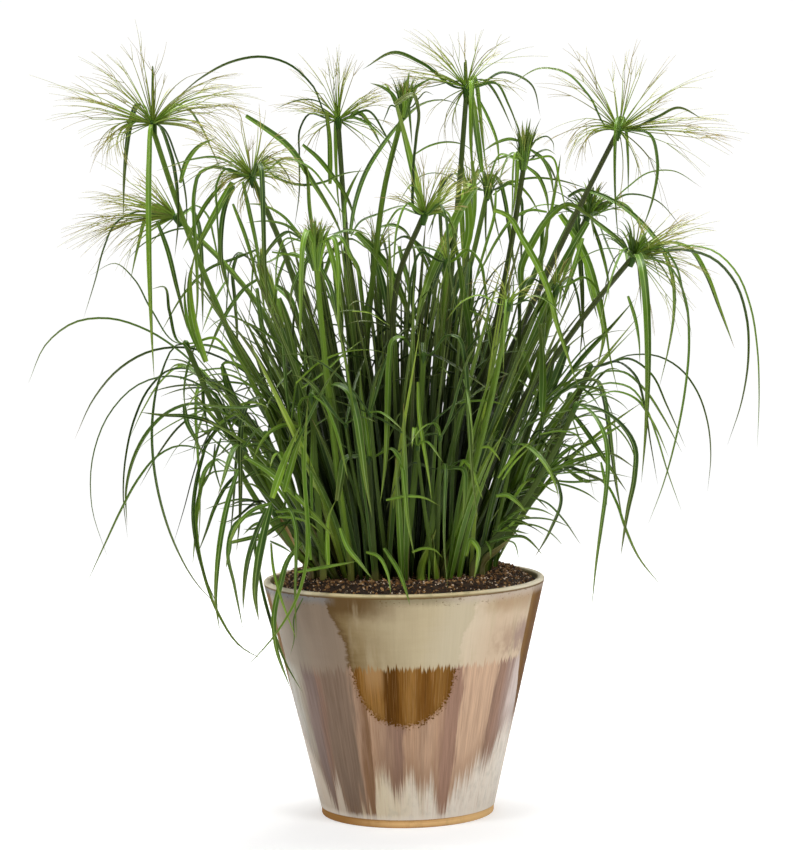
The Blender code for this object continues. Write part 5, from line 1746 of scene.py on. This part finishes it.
def makeGlazeFinish():
    # heights in mm, headings in degrees from the front, and every noise about zero
    g = Finish("runGlaze")
    x, y, z = g.split(g.place())
    height = z * 1000.0
    out = (x * x + y * y) ** 0.5
    east, north = x / out, y / out
    heading = g.calc("ARCTAN2", x, y * -1.0) * (180 / math.pi)
    aside = abs(heading)
    behind = g.smooth(aside, 77.0, 79.0)
    # what one half alone has ends before the back, where the two halves meet
    facing = g.smooth(aside, 150.0, 104.0)

    def runs(across, down, seed, detail=3.0):
        # noise that is stretched down the wall
        return g.noise(g.join(east * across, north * across, z * down + seed), 1.0, detail) - 0.5

    def around(stops, direction, span=180, shade=glaze.get):
        # what changes with the direction
        places = [((degrees / span + 1) / 2, shade(value)) for degrees, value in stops]
        return g.ramp(direction * (0.5 / span) + 0.5, places)

    def level(stops, direction, span=180):
        # the same for heights up to 120 mm
        return around(stops, direction, span, lambda tall: (*[tall / 120] * 3, 1)) * 120.0

    def layered(colour, *layers):
        # colours laid over one another, each by its share
        for share, name in layers:
            colour = g.mix(share, colour, glaze[name])
        return colour

    fine = runs(44.0, 15.0, 3.0, 4.0)
    finer = runs(130.0, 26.0, 17.0)
    jag = runs(52.0, 0.0, 7.0, 4.0)
    broad = runs(13.0, 17.0, 23.0)
    mottle = runs(16.0, 90.0, 0.0, 5.0)
    speckle = runs(46.0, 430.0, 31.0, 4.0)
    strand = runs(200.0, 20.0, 41.0)
    notch = g.noise(g.join(heading * 0.05, height * 0.16, 3.0), 1.0) - 0.5
    tint = g.ramp(fine * 0.75 + finer * 0.8 + 0.5, streakTints)

    def streaky(colour, strength):
        # lighter and darker streaks over a colour
        return g.mix(strength, colour, g.mix(1.0, colour, tint, "MULTIPLY"))

    # the lower wall: streaks, then cream that has gathered towards the foot
    wander = heading + fine * 7.0 + broad * 9.0 - height * 0.02 + 2.0
    colour = streaky(g.mix(behind, around(lowerRuns, wander, 80), around(backRuns, wander)), 0.7)
    creamTop = g.mix(behind, level(creamTops, heading + fine * 3.0, 80), level(backTops, heading))
    depth = creamTop - height + jag * 40.0 + fine * 62.0 + finer * 34.0
    # the cream is whiter to the right and greyer to the left: partly its own colour, partly painted
    # light on the right and painted shade on the left
    cream = layered(glaze["footCream"],
                    (g.smooth(heading + broad * 40.0, -22.0, 26.0) * facing, "milk"),
                    (g.smooth(mottle, -0.05, 0.2, 0.0, 0.3), "paleGrey"),
                    (g.smooth(heading, -36.0, -42.0, 0.0, 0.85) * facing, "footGrey"),
                    (g.smooth(finer, 0.02, 0.20, 0.0, 0.5), "salmon"))
    colour = layered(colour, (g.smooth(depth, -26.0, -4.0, 0.0, 0.30), "warmBrown"))
    colour = g.mix(g.smooth(depth, -8.0, 26.0), colour, cream)
    colour = layered(colour, (g.smooth(height + jag * 8.0, 16.0, 10.0, 0.0, 0.6), "milk"))

    # the amber patch at the front: a half round that hangs from the upper band
    half, power = patchShape["halfWidth"], patchShape["roundness"]
    sideways = abs((heading - patchShape["middle"]) * (1 / half)) ** power
    below = g.calc("MAXIMUM", (height * -1.0 + patchShape["top"]) * (1 / patchShape["depth"]), 0.0)
    depth = (sideways + below ** power) ** (1 / power) + fine * 0.16 + speckle * 0.40
    patch = layered(around(patchRuns, heading + fine * 3.0 + strand * 6.0, 30),
                    (g.smooth(strand, 0.06, 0.18, 0.0, 0.55), "tanAmber"),
                    (g.smooth(strand, -0.06, -0.18, 0.0, 0.75), "darkAmber"))
    # paler where it has thinned under the upper band on the left
    thin = (g.smooth(height, 140.0, 168.0) * g.smooth(heading, -20.5, -17.0)
            * g.smooth(heading, -9.0, -12.0))
    edge = g.smooth(depth, 0.84, 0.98) * g.smooth(speckle, 0.02, -0.08)
    patch = layered(streaky(patch, 0.8), (thin * 0.8, "tanAmber"), (edge * 0.8, "darkAmber"))
    colour = g.mix(g.smooth(depth, 1.03, 0.97), colour, patch)
    # loose flecks of it round its edge
    flecks = (g.smooth(depth, 1.16, 1.04) * g.smooth(depth, 0.99, 1.03)
              * g.smooth(height, 172.0, 160.0) * g.smooth(speckle, 0.04, 0.10) * 0.75)
    colour = layered(colour, (flecks, "warmBrown"))

    # the upper band, with teeth along its lower edge; it leans outwards towards the lip
    lean = g.smooth(height, 192.0, 242.0, 0.0, 7.0) * g.smooth(heading, -12.0, 12.0, 1.0, -0.8)
    leaning = heading + lean * facing + broad * 3.0 + speckle * 2.0 + notch * 6.5
    high = g.smooth(height + mottle * 10.0, 219.0, 238.0)
    past = g.smooth(leaning, -27.0, -25.6)
    blotch = (g.smooth(broad + mottle * 0.2, -0.02, 0.18) * g.smooth(heading, 2.0, -14.0) * past
              * g.smooth(height, 182.0, 206.0) * 0.3)
    pale = g.smooth(broad, -0.02, 0.20, 0.0, 0.35)
    uneven = height + mottle * 26.0 + fine * 20.0
    blush = g.smooth(uneven, 178.0, 194.0) * g.smooth(uneven, 222.0, 202.0) * facing
    upper = layered(around(upperBands, leaning),
                    (high * past * g.smooth(heading, 6.0, -22.0), "umber"),
                    (blotch, "umber"),
                    (g.smooth(heading + mottle * 8.0, 28.0, 42.0) * facing * high * 0.75, "tan"),
                    (blush * g.smooth(heading + mottle * 26.0, 36.0, 54.0, 0.0, 0.8), "pinkTan"),
                    (blush * g.smooth(heading + mottle * 22.0, 48.0, 62.0, 0.0, 0.8), "pinkMauve"),
                    (pale * g.smooth(heading, -27.0, -22.0) * facing, "warmBeige"))
    leftwards = g.smooth(heading, -24.0, -48.0) * facing
    toothed = height + jag * 32.0 + finer * 9.0 + leftwards * 6.0
    edge = g.mix(leftwards, g.smooth(toothed, 172.0, 176.0), g.smooth(toothed, 165.0, 181.0))
    colour = g.mix(edge, colour, streaky(upper, 0.12))

    # both sides are brown from under the lip: partly the glaze's own amber, partly a painted
    # reflection of a dark room in the glancing sides
    slope = g.smooth(height, 185.0, 112.0, 0.0, 9.0)
    amberSidesAndReflection = g.calc("MAXIMUM", g.smooth(heading + jag * 2.5 - slope, 64.6, 66.0),
                   g.smooth(heading + jag * 4.0 + slope, -72.0, -75.0))
    beyond = g.smooth(aside + jag * 30.0 + fine * 30.0, 104.0, 90.0)
    drop = g.smooth(height + jag * 40.0, 98.0, 122.0)
    brown = layered(glaze["sideAmber"], (g.smooth(heading + fine * 12.0, 66.0, 74.0), "sideBrown"))
    colour = g.mix(amberSidesAndReflection * beyond * drop, colour, streaky(brown, 0.7))

    # a thin band under the lip, whose blue-grey is partly a painted reflection, and the lip with a
    # dark line below it that is a painted shadow of the lip
    underLip = g.smooth(height + jag * 7.0, 238.0, 247.0) * (leftwards * 0.25 + 0.7)
    colour = layered(g.mix(underLip, colour, around(lipBand, heading)),
                     (g.smooth(speckle, 0.10, 0.18) * g.smooth(height, 236.0, 242.0) * 0.7, "umber"),
                     (g.smooth(height + fine * 1.2, 247.4, 248.4, 0.0, 0.9), "lipShadowLine"))
    ends = g.smooth(aside + broad * 20.0, 26.0, 56.0, 0.0, 0.85)
    lip = layered(glaze["lip"],
                  (g.smooth(height, 250.2, 251.6), "lipLight"),
                  (g.smooth(mottle, 0.0, 0.2, 0.0, 0.35), "greyOlive"),
                  (ends * g.smooth(height, 249.4, 250.4), "lipPale"))
    colour = g.mix(g.smooth(height, 249.2, 249.8), colour, lip)
    inside = g.smooth(out - (z * 0.235 + 0.0845), 0.0, -0.001)
    colour = layered(colour, (inside, "beige"))

    # the bare foot; darker to the left and lighter to the right is painted shade and painted light, as
    # the light falls from the right
    clay = layered(g.ramp(height * 0.1, [(place, glaze[name]) for place, name in footClay]),
                   (g.smooth(mottle, -0.05, 0.2, 0.0, 0.3), "clayDark"),
                   (g.smooth(heading, 0.0, -50.0) * facing, "clayDark"),
                   (g.smooth(heading, 12.0, 50.0, 0.0, 0.6) * facing, "clayLight"))
    glazed = g.smooth(height + finer * 0.8, 8.4, 9.0)
    colour = g.mix(glazed, clay, colour)

    bare = g.calc("MAXIMUM", glazed * -1.0 + 1.0, g.smooth(height, 248.0, 249.0, 0.0, 0.6))
    gloss = g.smooth(bare, 0.0, 1.0, potShape["gloss"], potShape["bareGloss"])
    gloss = gloss + fine * 0.10 + amberSidesAndReflection * 0.35
    return g.dress(Base_Color=colour, Roughness=gloss, Normal=g.bump(fine + finer * 0.4, 0.25, 0.0006),
                   Specular_IOR_Level=0.04)


def makePotPiece():
    shape = potShape
    rim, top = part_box("pot")[1].x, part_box("pot")[1].z
    shoulder = top - shape["lip"]
    thickness, floor = shape["thickness"], shape["floor"]
    half = thickness / 2
    band, foot = shape["footBand"], shape["wallFoot"]

    def wallRadius(z):
        return foot + (z - band) / (shoulder - band) * (rim - foot)

    outside = np.linspace(band + 0.6 * mm, shoulder - 0.5 * mm, shape["wallRings"])
    inside = np.linspace(shoulder - 1 * mm, floor + 3 * mm, shape["insideRings"])
    profile = [(0, 0)] + [(foot - inset, z) for inset, z in shape["footSection"]]
    profile += [(wallRadius(z), z) for z in outside]
    profile += [(rim - half + half * math.cos(turn), shoulder + shape["lip"] * math.sin(turn))
                for turn in np.linspace(0, math.pi, shape["lipRings"])]
    profile += [(wallRadius(z) - thickness, z) for z in inside]
    profile += [(wallRadius(floor) - thickness - 2 * mm, floor), (0, floor)]
    points, faces = turnedMesh(profile, shape["turns"])

    # the wall's faint throwing rings, and glaze that stands proud where it has run
    x, y, z = points.T
    out = np.hypot(x, y)
    heading = np.arctan2(x, -y)
    wall = (z > band) & (z < shoulder - mm) & (out > wallRadius(z) - half)
    rng = np.random.default_rng(seeds["wall"])
    few, many = shape["throwingWaves"], shape["runWaves"]
    rings = sum(np.sin(z / mm * rng.uniform(*shape["throwingPitch"]) + rng.uniform(0, 6.3))
                for _ in range(few)) / few
    flow = sum(np.sin(heading * rng.integers(*shape["runTurns"]) + rng.uniform(0, 6.3))
               for _ in range(many)) / many
    fade = np.clip((shoulder - 4 * mm - z) / (20 * mm), 0, 1) * np.clip((z - band) / (4 * mm), 0, 1)
    push = np.where(wall, rings * shape["throwing"] + (flow - 0.3) * shape["runs"], 0) * fade
    points[:, :2] *= (1 + push / np.maximum(out, mm))[:, None]
    pot = meshPiece("glazedPot", points, faces, [makeGlazeFinish()], sharp=shape["sharp"])
    settle(pot, "glazed_pot", "pot")


def makeEverything():
    makePotPiece()
    print("the pot is turned and glazed")
    makeMixPieces()
    print("the potting mix is filled in")
    stemFace, bladeFace, threadFace = makeStemFinish(), makeBladeFinish(), makeThreadFinish()
    stems = makePlantPieces(stemFace, bladeFace, threadFace)
    stems += growYoungShoots(bladeFace, stemFace)
    growStraps(bladeFace)
    growSeenLeaves(bladeFace)
    growFans(bladeFace)
    print("young growth, single leaves and fans are drawn")
    sheaths = Bundle()
    for line, hints, radii, rng in stems:
        sheathStem(sheaths, line, hints, radii, rng)
    settle(sheaths.piece("drySheaths", bladeFace), "leaf")
    print("dry sheaths are drawn")


makeEverything()
